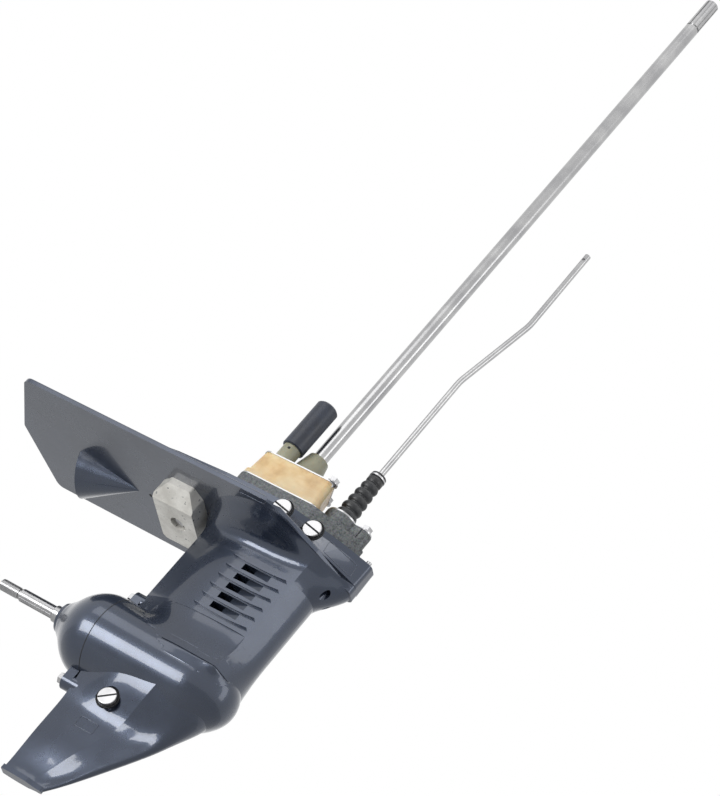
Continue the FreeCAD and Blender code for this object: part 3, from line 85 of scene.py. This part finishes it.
class Shader:
    """One material's node tree, with short calls for the nodes that the looks below need."""

    def __init__(self, name):
        self.material = bpy.data.materials.new(name)
        self.material.use_nodes = True
        self.tree = self.material.node_tree
        self.surface = self.tree.nodes["Principled BSDF"]
        self.place = self.tree.nodes.new("ShaderNodeTexCoord").outputs["Object"]

    def node(self, kind, **inputs):
        made = self.tree.nodes.new(kind)
        for key, value in inputs.items():
            self.feed(made.inputs[key.replace("_", " ")], value)
        return made

    def feed(self, socket, value):
        if isinstance(value, bpy.types.NodeSocket):
            self.tree.links.new(value, socket)
        else:
            socket.default_value = value

    def stretched(self, x, y, z):
        mapping = self.node("ShaderNodeMapping", Vector=self.place)
        mapping.inputs["Scale"].default_value = (x, y, z)
        return mapping.outputs["Vector"]

    def noise(self, scale, detail=3.0, rough=0.55, where=None):
        made = self.node("ShaderNodeTexNoise", Vector=where or self.place, Scale=scale, Detail=detail,
                         Roughness=rough)
        return made.outputs["Fac"]

    def cells(self, scale, where=None):
        return self.node("ShaderNodeTexVoronoi", Vector=where or self.place, Scale=scale).outputs["Color"]

    def ramp(self, factor, stops):
        made = self.node("ShaderNodeValToRGB", Fac=factor)
        band = made.color_ramp
        while len(band.elements) < len(stops):
            band.elements.new(0.5)
        for element, (position, colour) in zip(band.elements, stops):
            element.position = position
            element.color = colour if len(colour) == 4 else (*colour, 1.0)
        return made.outputs["Color"]

    def grey(self, factor, low, high, start=0.3, end=0.7):
        return self.ramp(factor, [(start, (low,) * 3), (end, (high,) * 3)])

    def mix(self, factor, first, second, blend="MIX"):
        made = self.tree.nodes.new("ShaderNodeMix")
        made.data_type = "RGBA"
        made.blend_type = blend
        self.feed(made.inputs[0], factor)
        self.feed(made.inputs[6], first)
        self.feed(made.inputs[7], second)
        return made.outputs[2]

    def maths(self, operation, first, second):
        made = self.node("ShaderNodeMath")
        made.operation = operation
        self.feed(made.inputs[0], first)
        self.feed(made.inputs[1], second)
        return made.outputs[0]

    def bump(self, height, strength, distance, after=None):
        made = self.node("ShaderNodeBump", Height=height, Strength=strength, Distance=distance)
        if after:
            self.feed(made.inputs["Normal"], after)
        return made.outputs["Normal"]

    def finish(self, **inputs):
        for key, value in inputs.items():
            self.feed(self.surface.inputs[key.replace("_", " ")], value)
        return self.material


def rgb(red, green, blue):
    """A colour written as it looks on a screen, 0 to 255."""
    def linear(value):
        share = value / 255.0
        return share / 12.92 if share <= 0.04045 else ((share + 0.055) / 1.055) ** 2.4
    return (linear(red), linear(green), linear(blue), 1.0)


def case_paint():
    """Clear-coated metallic blue-grey over a casting, with flake, orange peel and a few dull patches."""
    s = Shader("case_paint")
    flake = s.cells(5200)
    tone = s.mix(s.grey(s.noise(9, 4), 0, 1), rgb(45, 53, 69), rgb(57, 66, 83))
    sparkle = s.mix(0.16, tone, flake, "OVERLAY")
    peel = s.noise(420, 2)
    sag = s.noise(38, 2)
    dull = s.noise(26, 5, 0.7)
    rough = s.grey(dull, 0.24, 0.36, 0.35, 0.75)
    normal = s.bump(sag, 0.10, 0.0006, s.bump(peel, 0.06, 0.00012))
    return s.finish(Base_Color=sparkle, Metallic=0.62, Roughness=rough, Coat_Weight=0.8,
                    Coat_Roughness=s.grey(dull, 0.03, 0.10), Coat_IOR=1.5, Normal=normal,
                    Coat_Normal=s.bump(sag, 0.05, 0.0005))


def bare_casting():
    """Unpainted cast aluminium: grainy, with darker pits."""
    s = Shader("bare_casting")
    grain = s.noise(1800, 4, 0.7)
    pits = s.noise(420, 5, 0.75)
    tone = s.mix(s.grey(pits, 0, 1, 0.36, 0.62), rgb(70, 73, 76), rgb(118, 121, 122))
    height = s.maths("ADD", grain, pits)
    return s.finish(Base_Color=s.mix(0.2, tone, s.cells(2600), "OVERLAY"), Metallic=0.7,
                    Roughness=s.grey(grain, 0.48, 0.7), Normal=s.bump(height, 0.35, 0.0002))


def anode_zinc():
    """Cast zinc, pale and matte with small dents and dark specks."""
    s = Shader("anode_zinc")
    mottle = s.noise(60, 5, 0.65)
    fine = s.noise(520, 4, 0.7)
    tone = s.mix(s.grey(mottle, 0, 1, 0.35, 0.7), rgb(196, 193, 186), rgb(232, 230, 224))
    specks = s.grey(s.noise(240, 3), 1, 0, 0.62, 0.72)
    colour = s.mix(specks, rgb(96, 97, 98), tone)
    return s.finish(Base_Color=colour, Metallic=0.45, Roughness=s.grey(fine, 0.45, 0.62),
                    Normal=s.bump(s.maths("ADD", mottle, fine), 0.35, 0.0005))


def turned_steel(name, along, shade=190, roughness=0.22):
    """Ground steel with fine rings round the given axis and faint smears."""
    s = Shader(name)
    stretch = {"z": (40, 40, 3000), "x": (3000, 40, 40)}[along]
    rings = s.noise(1.0, 1, 0.4, s.stretched(*stretch))
    smear = s.noise(45, 4)
    tone = s.mix(s.grey(smear, 0, 1), rgb(shade - 26, shade - 26, shade - 24), rgb(shade, shade, shade))
    rough = s.mix(0.5, s.grey(rings, roughness * 0.7, roughness * 1.3),
                  s.grey(smear, roughness * 0.8, roughness * 1.4))
    colour = s.mix(s.grey(rings, 0, 0.2), tone, rgb(128, 128, 128))
    return s.finish(Base_Color=colour, Metallic=1.0, Roughness=rough, Normal=s.bump(rings, 0.05, 0.00005))


def machined_steel(name, shade, roughness):
    """Plain machined steel for gears, bearings, bolts and sheet, with an oily unevenness."""
    s = Shader(name)
    cloud = s.noise(70, 5, 0.6)
    fine = s.noise(900, 2)
    tone = s.mix(s.grey(cloud, 0, 1), rgb(shade - 30, shade - 30, shade - 28), rgb(shade, shade, shade + 1))
    return s.finish(Base_Color=tone, Metallic=1.0, Roughness=s.grey(cloud, roughness * 0.7, roughness * 1.3),
                    Normal=s.bump(fine, 0.15, 0.00008))


def bronze():
    """Sintered bush metal with open pores."""
    s = Shader("bush_bronze")
    pores = s.noise(700, 4, 0.7)
    return s.finish(Base_Color=s.mix(s.grey(pores, 0, 1), rgb(120, 84, 44), rgb(176, 134, 78)), Metallic=1.0,
                    Roughness=s.grey(pores, 0.3, 0.5), Normal=s.bump(pores, 0.2, 0.0002))


def pump_plastic():
    """Cream moulding with amber clouds and a little light in its walls. Above the top plate it is olive."""
    s = Shader("pump_plastic")
    cloud = s.noise(38, 4, 0.55)
    drift = s.noise(14, 3)
    streak = s.noise(6.0, 3, 0.6, s.stretched(4, 4, 16))
    base = s.ramp(cloud, [(0.30, rgb(196, 150, 96)), (0.46, rgb(228, 196, 142)), (0.62, rgb(240, 218, 172)),
                          (0.78, rgb(214, 204, 180))])
    tone = s.mix(s.grey(drift, 0, 0.7, 0.42, 0.66), base, rgb(206, 184, 150))
    tone = s.mix(s.grey(streak, 0, 0.25), tone, rgb(172, 134, 92))
    height = s.node("ShaderNodeSeparateXYZ", Vector=s.place).outputs["Z"]
    above = s.maths("GREATER_THAN", height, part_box("pump_top_plate")[1][2])
    olive = s.mix(s.grey(cloud, 0, 1), rgb(128, 126, 106), rgb(158, 155, 132))
    tone = s.mix(above, tone, olive)
    fine = s.noise(260, 3)
    return s.finish(Base_Color=tone, Roughness=s.grey(fine, 0.28, 0.45), Subsurface_Weight=0.22,
                    Subsurface_Radius=(0.012, 0.006, 0.003), Subsurface_Scale=0.35,
                    Normal=s.bump(s.maths("ADD", fine, cloud), 0.12, 0.0003))


def rubber(name, shade, gloss, blue=10):
    """Moulded rubber with a dusty bloom."""
    s = Shader(name)
    bloom = s.noise(55, 5, 0.65)
    grain = s.noise(800, 3, 0.6)
    low = rgb(shade, shade + blue * 0.3, shade + blue)
    high = rgb(shade + 20, shade + 20 + blue * 0.5, shade + 20 + blue * 1.4)
    return s.finish(Base_Color=s.mix(s.grey(bloom, 0, 1, 0.4, 0.75), low, high),
                    Roughness=s.grey(bloom, gloss, gloss + 0.18), Specular_IOR_Level=0.6,
                    Normal=s.bump(grain, 0.18, 0.0002))


def fibre():
    """Dark pressed fibre for the gaskets."""
    s = Shader("gasket_fibre")
    weave = s.noise(600, 4, 0.7)
    return s.finish(Base_Color=s.mix(s.grey(weave, 0, 1), rgb(26, 24, 24), rgb(54, 50, 46)), Roughness=0.8,
                    Normal=s.bump(weave, 0.3, 0.0002))


def hole_dark():
    """The unlit inside of a small hole, with a little rough metal showing."""
    s = Shader("hole_dark")
    grit = s.noise(900, 3)
    return s.finish(Base_Color=s.mix(s.grey(grit, 0, 1), rgb(10, 11, 13), rgb(30, 32, 36)), Roughness=0.7,
                    Normal=s.bump(grit, 0.2, 0.0001))


LOOKS = {
    "case_paint": case_paint(),
    "bare_casting": bare_casting(),
    "anode_zinc": anode_zinc(),
    "drive_steel": turned_steel("drive_steel", "z"),
    "propeller_steel": turned_steel("propeller_steel", "x", 176, 0.26),
    "gear_steel": machined_steel("gear_steel", 130, 0.34),
    "bearing_steel": machined_steel("bearing_steel", 196, 0.16),
    "fastener_steel": machined_steel("fastener_steel", 188, 0.28),
    "sheet_steel": machined_steel("sheet_steel", 196, 0.28),
    "plug_steel": machined_steel("plug_steel", 206, 0.38),
    "bush_bronze": bronze(),
    "pump_plastic": pump_plastic(),
    "black_rubber": rubber("black_rubber", 16, 0.36, 5),
    "sleeve_rubber": rubber("sleeve_rubber", 22, 0.34, 20),
    "seal_rubber": rubber("seal_rubber", 18, 0.5),
    "gasket_fibre": fibre(),
    "hole_dark": hole_dark(),
}

NODE_LOOKS = {
    "case_paint": ["gearcase", "propeller_shaft_cap"],
    "bare_casting": ["oil_seal_housing"],
    "anode_zinc": ["anode"],
    "drive_steel": ["drive_shaft", "shift_rod"],
    "propeller_steel": ["propeller_shaft"],
    "gear_steel": ["forward_gear", "reverse_gear", "pinion_gear", "dog_clutch", "shift_cam"],
    "bearing_steel": ["forward_bearing_cup", "forward_bearing_cone", "reverse_bearing_outer",
                      "reverse_bearing_inner", "top_bearing_outer", "top_bearing_inner", "clutch_cross_pin",
                      "clutch_spring_ring", "shift_plunger"],
    "fastener_steel": ["cap_bolts", "retainer_bolt", "pump_bolts", "anode_bolt", "dowel_pins", "impeller_key",
                       "pinion_nut"],
    "sheet_steel": ["boot_clamp_ring", "boot_retainer_plate", "pump_wear_plate", "pump_insert_cup",
                    "pump_top_plate"],
    "plug_steel": ["oil_level_plug", "flushing_plug", "oil_drain_plug"],
    "bush_bronze": ["propeller_shaft_bush", "drive_shaft_bush", "shift_rod_bush"],
    "pump_plastic": ["pump_housing"],
    "black_rubber": ["shift_rod_boot", "impeller"],
    "sleeve_rubber": ["water_tube_grommet"],
    "seal_rubber": ["cap_o_ring", "propeller_shaft_seals", "drive_shaft_oil_seals"],
    "gasket_fibre": ["pump_gasket", "plug_gaskets"],
}


def dress_nodes():
    for look, names in NODE_LOOKS.items():
        for name in names:
            mesh = nodes[name].data
            mesh.materials.clear()
            mesh.materials.append(LOOKS[look])


NODE_SLOTS = {entry["node"]: entry["material_slot"] for entry in frame["record"]["subparts"]}
LOOK_SLOTS = {look: NODE_SLOTS[names[0]] for look, names in NODE_LOOKS.items()}
LOOK_SLOTS["hole_dark"] = NODE_SLOTS["gearcase"]


def tree_of(node):
    mesh = nodes[node].data
    return BVHTree.FromPolygons([v.co for v in mesh.vertices], [p.vertices for p in mesh.polygons])


CASE_TREE = tree_of("gearcase")
PUMP_TREE = tree_of("pump_housing")


def seen_at(tree, px, py):
    """Where the line of sight through a pixel of the photograph meets a node, and the normal there."""
    across = CAMERA_RIGHT * (px - PHOTO_WIDTH / 2)
    down = CAMERA_UP * (py - PHOTO_HEIGHT / 2)
    aim = (across - down) / FOCAL_PIXELS + CAMERA_AHEAD
    return tree.ray_cast(CAMERA_PLACE, aim.normalized())[:2]


def on_case_side(x, z, side):
    """The gearcase's surface seen level from starboard (-1) or port (1), or None where it isn't met."""
    return CASE_TREE.ray_cast(mm(x, 200 * side, z), Vector((0, -side, 0)))[:2]


def circle(count):
    return [math.tau * i / count for i in range(count)]


def add_piece(name, made, look, body=None, smooth=True):
    """Turns a bmesh into an object with its look, on the given body if there is one."""
    bmesh.ops.recalc_face_normals(made, faces=made.faces)
    mesh = bpy.data.meshes.new(name)
    made.to_mesh(mesh)
    made.free()
    for polygon in mesh.polygons:
        polygon.use_smooth = smooth
    mesh.materials.append(LOOKS[look])
    piece = bpy.data.objects.new(name, mesh)
    bpy.context.scene.collection.objects.link(piece)
    if body:
        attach(piece, body)
    return piece


def sweep(rings, closed):
    """Skins a row of rings of points, closed on itself or capped at its ends."""
    made = bmesh.new()
    rows = [[made.verts.new(point) for point in ring] for ring in rings]
    count = len(rows)
    for i in range(count if closed else count - 1):
        a, b = rows[i], rows[(i + 1) % count]
        for j in range(len(a)):
            k = (j + 1) % len(a)
            made.faces.new((a[j], a[k], b[k], b[j]))
    if not closed:
        made.faces.new(rows[0])
        made.faces.new(rows[-1])
    return made


def turned(profile, count, place):
    """Rings of a section turned round an axis: place gives the point for a radius, a height and an angle."""
    return [[place(radius, height, turn) for radius, height in profile] for turn in circle(count)]


def ridge(name, track, width, height):
    """A low half-round ridge in the case's paint, along a closed track of surface points and normals."""
    section = ((-0.5, -0.4), (-0.3, 0.7), (0.0, 1.0), (0.3, 0.7), (0.5, -0.4))
    rings = []
    for i, (place, normal) in enumerate(track):
        along = (track[(i + 1) % len(track)][0] - track[i - 1][0]).normalized()
        across = normal.cross(along).normalized()
        rings.append([place + (across * width * a + normal * height * h) * MM for a, h in section])
    add_piece(name, sweep(rings, True), "case_paint", CASE)


def outline(corners, per_side, find):
    """Surface points along the straight sides between corners, found by a call that takes two numbers."""
    track = []
    for (a, b), (c, d) in zip(corners, corners[1:] + corners[:1]):
        for i in range(per_side):
            share = (i + 0.5) / per_side
            track.append(find(a + (c - a) * share, b + (d - b) * share))
    return track


def eyelet(name, place, normal, radius):
    """A small dark hole with a thin raised rim."""
    side = normal.orthogonal().normalized()
    other = normal.cross(side)
    rings = []
    for reach, lift in ((radius, -0.3), (radius, 0.05), (radius * 0.55, 0.08)):
        spokes = [(side * math.cos(turn) + other * math.sin(turn)) * reach for turn in circle(28)]
        rings.append([place + (spoke + normal * lift) * MM for spoke in spokes])
    add_piece(name, sweep(rings, False), "hole_dark", CASE, False)


# Each plug's centre from the side, and the turn of its slot in degrees
PLUGS = {
    "oil_level_plug": (36, -15.5, 12),
    "flushing_plug": (64, -13, 12),
    "oil_drain_plug": (5, -226.5, -40),
}
PLUG_HEAD = 4.5
PLUG_INNER = 8.4
POCKET_RADIUS = 10.35
SLOT_HALF_WIDTH = 0.85


def round_plug(centre_x, centre_z):
    """Gives the call that places a point round one plug's axis."""
    def place(radius, y, turn):
        return mm(centre_x + radius * math.cos(turn), y, centre_z + radius * math.sin(turn))
    return place


def add_plug_shadows():
    """The unlit floor of each plug's pocket and of its screwdriver slot."""
    for node, (centre_x, centre_z, degrees) in PLUGS.items():
        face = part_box(node)[0][1] / MM
        floor = face + PLUG_HEAD
        section = [(PLUG_INNER, floor), (PLUG_INNER, floor - 0.4), (9.9, floor - 0.5), (10.1, floor - 1.6),
                   (POCKET_RADIUS, floor - 1.6), (POCKET_RADIUS, floor)]
        rings = turned(section, 56, round_plug(centre_x, centre_z))
        add_piece(node + "_pocket", sweep(rings, True), "hole_dark", CASE, False)
        turn = math.radians(degrees)
        along = Vector((math.cos(turn), 0, -math.sin(turn)))
        across = Vector((math.sin(turn), 0, math.cos(turn)))
        rows = []
        for y, half in ((face + 1.55, 7.9), (face + 0.45, 7.7)):
            corners = ((-half, -1), (half, -1), (half + 0.2, 0), (half, 1), (-half, 1), (-half - 0.2, 0))
            rows.append([mm(centre_x, y, centre_z) + (along * a + across * b * SLOT_HALF_WIDTH) * MM
                         for a, b in corners])
        add_piece(node + "_slot", sweep(rows, False), "hole_dark", CASE, False)


def round_axis(radius, x, turn):
    """A point round the propeller shaft's axis."""
    return mm(x, radius * math.cos(turn), radius * math.sin(turn) + AXIS_HEIGHT)


def add_seam():
    """The dark joint line between the torpedo and the propeller shaft cap."""
    low, high = TORPEDO_RADIUS - 0.6, TORPEDO_RADIUS + 0.08
    section = [(low, SEAM_X - 0.45), (high, SEAM_X - 0.35), (high, SEAM_X + 0.35), (low, SEAM_X + 0.45)]
    add_piece("cap_seam", sweep(turned(section, 160, round_axis), True), "hole_dark", CASE)


FAIRING_STEP = 2.0
FAIRING_START = (-18.0, -188.0)
FAIRING_CELLS = (60, 34)
FAIRING_ROUNDS = 110
FAIRING_LEAST = 4.0


def stretched_skin(solid):
    """Pulls a sheet tight over a grid of surface heights, so that it bridges the sharp inner corner."""
    skin = dict(solid)
    for _ in range(FAIRING_ROUNDS):
        smooth = {}
        for (i, j), low in solid.items():
            near = [skin[k] for k in ((i - 1, j), (i + 1, j), (i, j - 1), (i, j + 1)) if k in skin]
            smooth[i, j] = max(low, sum(near) / len(near)) if len(near) == 4 else low
        skin = smooth
    return skin


def add_fairing(name, side):
    """A closed sheet that rounds the corner where the leg stands on the torpedo."""
    columns = [FAIRING_START[0] + FAIRING_STEP * i for i in range(FAIRING_CELLS[0])]
    rows = [FAIRING_START[1] + FAIRING_STEP * i for i in range(FAIRING_CELLS[1])]
    solid = {}
    for i, x in enumerate(columns):
        for j, z in enumerate(rows):
            hit = on_case_side(x, z, side)[0]
            if hit is not None and hit.y * side > FAIRING_LEAST * MM:
                solid[i, j] = hit.y * side
    skin = stretched_skin(solid)
    raised = {k for k in skin if skin[k] > solid[k] + 0.04 * MM}
    wide = {(i + a, j + b) for i, j in raised for a in (-1, 0, 1) for b in (-1, 0, 1)} & set(skin)
    made = bmesh.new()
    outer, inner = {}, {}
    for i, j in wide:
        lift = skin[i, j] if (i, j) in raised else solid[i, j] - 0.15 * MM
        outer[i, j] = made.verts.new((columns[i] * MM, side * lift, rows[j] * MM))
        inner[i, j] = made.verts.new((columns[i] * MM, side * (solid[i, j] - 0.8 * MM), rows[j] * MM))
    edges = set()
    for i, j in wide:
        loop = [(i, j), (i + 1, j), (i + 1, j + 1), (i, j + 1)]
        if not set(loop) <= wide:
            continue
        made.faces.new([outer[k] for k in loop])
        made.faces.new([inner[k] for k in reversed(loop)])
        edges.update(zip(loop, loop[1:] + loop[:1]))
    for a, b in edges:
        if (b, a) not in edges:
            made.faces.new((outer[a], outer[b], inner[b], inner[a]))
    bmesh.ops.delete(made, geom=[v for v in made.verts if not v.link_faces], context="VERTS")
    add_piece(name, made, "case_paint", CASE)


BOOT_LOW = 27.4
BOOT_BASE = 31.9
BOOT_TOP = 86.9
BOOT_COLLAR = 11.0
BOOT_FOLDS = 5
BOOT_FOLD_DEPTH = 2.9


def boot_profile():
    """The bellows' section, outside and then inside: radius and height in mm."""
    neck = BOOT_TOP - BOOT_COLLAR
    points = [(12.6, BOOT_LOW), (12.6, 29.9), (7.6, 30.0), (7.6, BOOT_BASE)]
    step = (neck - BOOT_BASE) / BOOT_FOLDS
    for i in range(BOOT_FOLDS):
        valley = 10.4 - 2.0 * i / (BOOT_FOLDS - 1) - BOOT_FOLD_DEPTH
        for j in range(9):
            share = j / 9.0
            bulge = math.sin(math.pi * share) ** 0.6
            points.append((valley + BOOT_FOLD_DEPTH * bulge, BOOT_BASE + step * (i + share)))
    points += [(5.9, neck), (7.4, neck + 0.9), (7.6, neck + 1.6)]
    points += [(7.6, BOOT_TOP - 4.4), (6.9, BOOT_TOP - 4.1), (6.9, BOOT_TOP - 2.3), (7.6, BOOT_TOP - 2.0),
               (7.4, BOOT_TOP - 0.4), (7.0, BOOT_TOP)]
    points += [(ROD_BORE, BOOT_TOP), (ROD_BORE, neck + 2), (4.4, neck), (4.4, BOOT_LOW)]
    return points


def round_rod(radius, height, turn):
    """A point round the shift rod's axis."""
    return mm(ROD_X + radius * math.cos(turn), radius * math.sin(turn), height)


def add_boot():
    """The boot replaces its plain solid, which is hidden, and is left on no body."""
    rings = turned(boot_profile(), 72, round_rod)
    boot = add_piece("bellows_boot", sweep(rings, True), "black_rubber")
    foot, neck = BOOT_BASE + 0.6, BOOT_TOP - BOOT_COLLAR - 0.4
    mm(ROD_X, 0, foot)
    mm(ROD_X, 0, neck)
    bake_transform(boot)
    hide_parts("shift_rod_boot")


THREAD_PITCH = 1.5
THREAD_ROOT = 4.95
THREAD_RISE = 0.4
THREAD_LENGTH = 19.5
THREAD_STEPS = 36


def add_thread():
    """The rolled thread at the tail of the propeller shaft, fading in and out over half a turn."""
    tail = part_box("propeller_shaft")[0][0] / MM
    total = THREAD_LENGTH / THREAD_PITCH * THREAD_STEPS
    fade = THREAD_STEPS * 0.5
    rings = []
    for i in range(int(total)):
        turn = math.tau * i / THREAD_STEPS
        x = tail + 0.9 + THREAD_PITCH * i / THREAD_STEPS
        tip = THREAD_ROOT + THREAD_RISE * min(1.0, i / fade, (total - i) / fade)
        section = ((THREAD_ROOT - 0.3, -0.6), (tip, -0.12), (tip, 0.12), (THREAD_ROOT - 0.3, 0.6))
        rings.append([round_axis(radius, x + shift, turn) for radius, shift in section])
    add_piece("propeller_thread", sweep(rings, False), "propeller_steel", "propeller_shaft_group")


# Corners of the outlined panels: the skeg's in mm from the side, the others in pixels of the photograph
SKEG_PANEL = [(-9.0, -247.5), (10.0, -247.5), (10.0, -257.5), (-9.0, -257.5)]
DECK_PANEL = [(330.0, 541.0), (357.5, 566.0), (350.0, 577.0), (323.5, 551.5)]
AFT_PANEL = [(240.5, 488.0), (266.5, 501.0), (264.5, 504.5), (239.0, 491.5)]
PLATE_HOLE_PIXEL = (151.0, 495.6)
NECK_HOLE_PIXEL = (289.0, 447.5)


def add_details():
    """Every piece that the frame lacks, each but the boot on the body that carries it."""
    ridge("skeg_panel_rim", outline(SKEG_PANEL, 10, lambda x, z: on_case_side(x, z, -1)), 1.0, 0.35)
    for name, corners in (("deck_panel_rim", DECK_PANEL), ("aft_panel_rim", AFT_PANEL)):
        ridge(name, outline(corners, 10, lambda px, py: seen_at(CASE_TREE, px, py)), 0.8, 0.3)
    eyelet("plate_tapped_hole", *seen_at(CASE_TREE, *PLATE_HOLE_PIXEL), 2.0)
    eyelet("outlet_neck_hole", *seen_at(PUMP_TREE, *NECK_HOLE_PIXEL), 1.3)
    add_thread()
    add_boot()
    add_plug_shadows()
    add_seam()
    add_fairing("leg_fairing_starboard", -1)
    add_fairing("leg_fairing_port", 1)


def add_camera():
    data = bpy.data.cameras.new("camera")
    data.sensor_width = SENSOR_WIDTH
    data.lens = CAMERA_LENS
    data.clip_end = 20.0
    camera = bpy.data.objects.new("camera", data)
    bpy.context.scene.collection.objects.link(camera)
    turn = Matrix((CAMERA_RIGHT, CAMERA_UP, -CAMERA_AHEAD)).transposed()
    camera.matrix_world = Matrix.Translation(CAMERA_PLACE) @ turn.to_4x4()
    bpy.context.scene.camera = camera


def add_softbox(name, place, target, width, height, power):
    """A rectangular lamp that faces its target."""
    data = bpy.data.lights.new(name, "AREA")
    data.shape = "RECTANGLE"
    data.size = width
    data.size_y = height
    data.energy = power
    light = bpy.data.objects.new(name, data)
    bpy.context.scene.collection.objects.link(light)
    light.location = place
    light.rotation_mode = "QUATERNION"
    light.rotation_quaternion = (place - target).to_track_quat("Z", "Y")


FLOOR_SHOWN = 0.62


def add_world():
    """White to the eye, soft grey as a light."""
    world = bpy.data.worlds.new("studio")
    world.use_nodes = True
    bpy.context.scene.world = world
    tree = world.node_tree
    light = tree.nodes["Background"]
    light.inputs["Color"].default_value = (0.93, 0.96, 1.0, 1.0)
    light.inputs["Strength"].default_value = 0.45
    seen = tree.nodes.new("ShaderNodeBackground")
    seen.inputs["Color"].default_value = (1.0, 1.0, 1.0, 1.0)
    seen.inputs["Strength"].default_value = 1.0
    mixer = tree.nodes.new("ShaderNodeMixShader")
    tree.links.new(seen_rays(tree), mixer.inputs[0])
    tree.links.new(light.outputs[0], mixer.inputs[1])
    tree.links.new(seen.outputs[0], mixer.inputs[2])
    tree.links.new(mixer.outputs[0], tree.nodes["World Output"].inputs["Surface"])


def seen_rays(tree):
    """1 where the camera, a reflection or a transmitted ray looks."""
    path = tree.nodes.new("ShaderNodeLightPath")
    shown = path.outputs["Is Camera Ray"]
    for ray in ("Is Glossy Ray", "Is Transmission Ray"):
        both = tree.nodes.new("ShaderNodeMath")
        both.operation = "MAXIMUM"
        tree.links.new(shown, both.inputs[0])
        tree.links.new(path.outputs[ray], both.inputs[1])
        shown = both.outputs[0]
    return shown


def show_pale(tree, shade):
    """Lets most of the floor's own pale colour through, and keeps the object's shadow in the rest."""
    glow = tree.nodes.new("ShaderNodeEmission")
    tree.links.new(shade, glow.inputs["Color"])
    share = tree.nodes.new("ShaderNodeMath")
    share.operation = "MULTIPLY"
    share.inputs[1].default_value = FLOOR_SHOWN
    tree.links.new(seen_rays(tree), share.inputs[0])
    mixer = tree.nodes.new("ShaderNodeMixShader")
    tree.links.new(share.outputs[0], mixer.inputs[0])
    tree.links.new(tree.nodes["Principled BSDF"].outputs[0], mixer.inputs[1])
    tree.links.new(glow.outputs[0], mixer.inputs[2])
    tree.links.new(mixer.outputs[0], tree.nodes["Material Output"].inputs["Surface"])


def add_floor():
    """A pale floor below the camera."""
    made = bmesh.new()
    reach = 6000
    corners = [(-reach, -reach), (reach, -reach), (reach, reach), (-reach, reach)]
    made.faces.new([made.verts.new(mm(x, y, FLOOR_HEIGHT)) for x, y in corners])
    mesh = bpy.data.meshes.new("floor")
    made.to_mesh(mesh)
    made.free()
    floor = bpy.data.objects.new("floor", mesh)
    bpy.context.scene.collection.objects.link(floor)
    s = Shader("floor_pale")
    cloud = s.noise(0.8, 3)
    shade = s.mix(s.grey(cloud, 0, 1), rgb(236, 236, 236), rgb(244, 244, 243))
    mesh.materials.append(s.finish(Base_Color=shade, Roughness=0.9))
    show_pale(s.tree, shade)


def add_lights():
    target = mm(0, 0, -120)
    add_softbox("key", mm(-600, -1500, 750), target, 1.2, 0.7, 4)
    add_softbox("side", mm(-900, -1700, -620), target, 1.1, 0.8, 23)
    add_softbox("front", mm(1500, -500, 600), target, 0.5, 1.4, 4)
    add_softbox("top", mm(0, -300, 1900), mm(0, 0, 0), 1.6, 1.6, 9)


dress_nodes()
add_details()
add_camera()
add_world()
add_floor()
add_lights()
bpy.context.scene.view_settings.view_transform = "Standard"
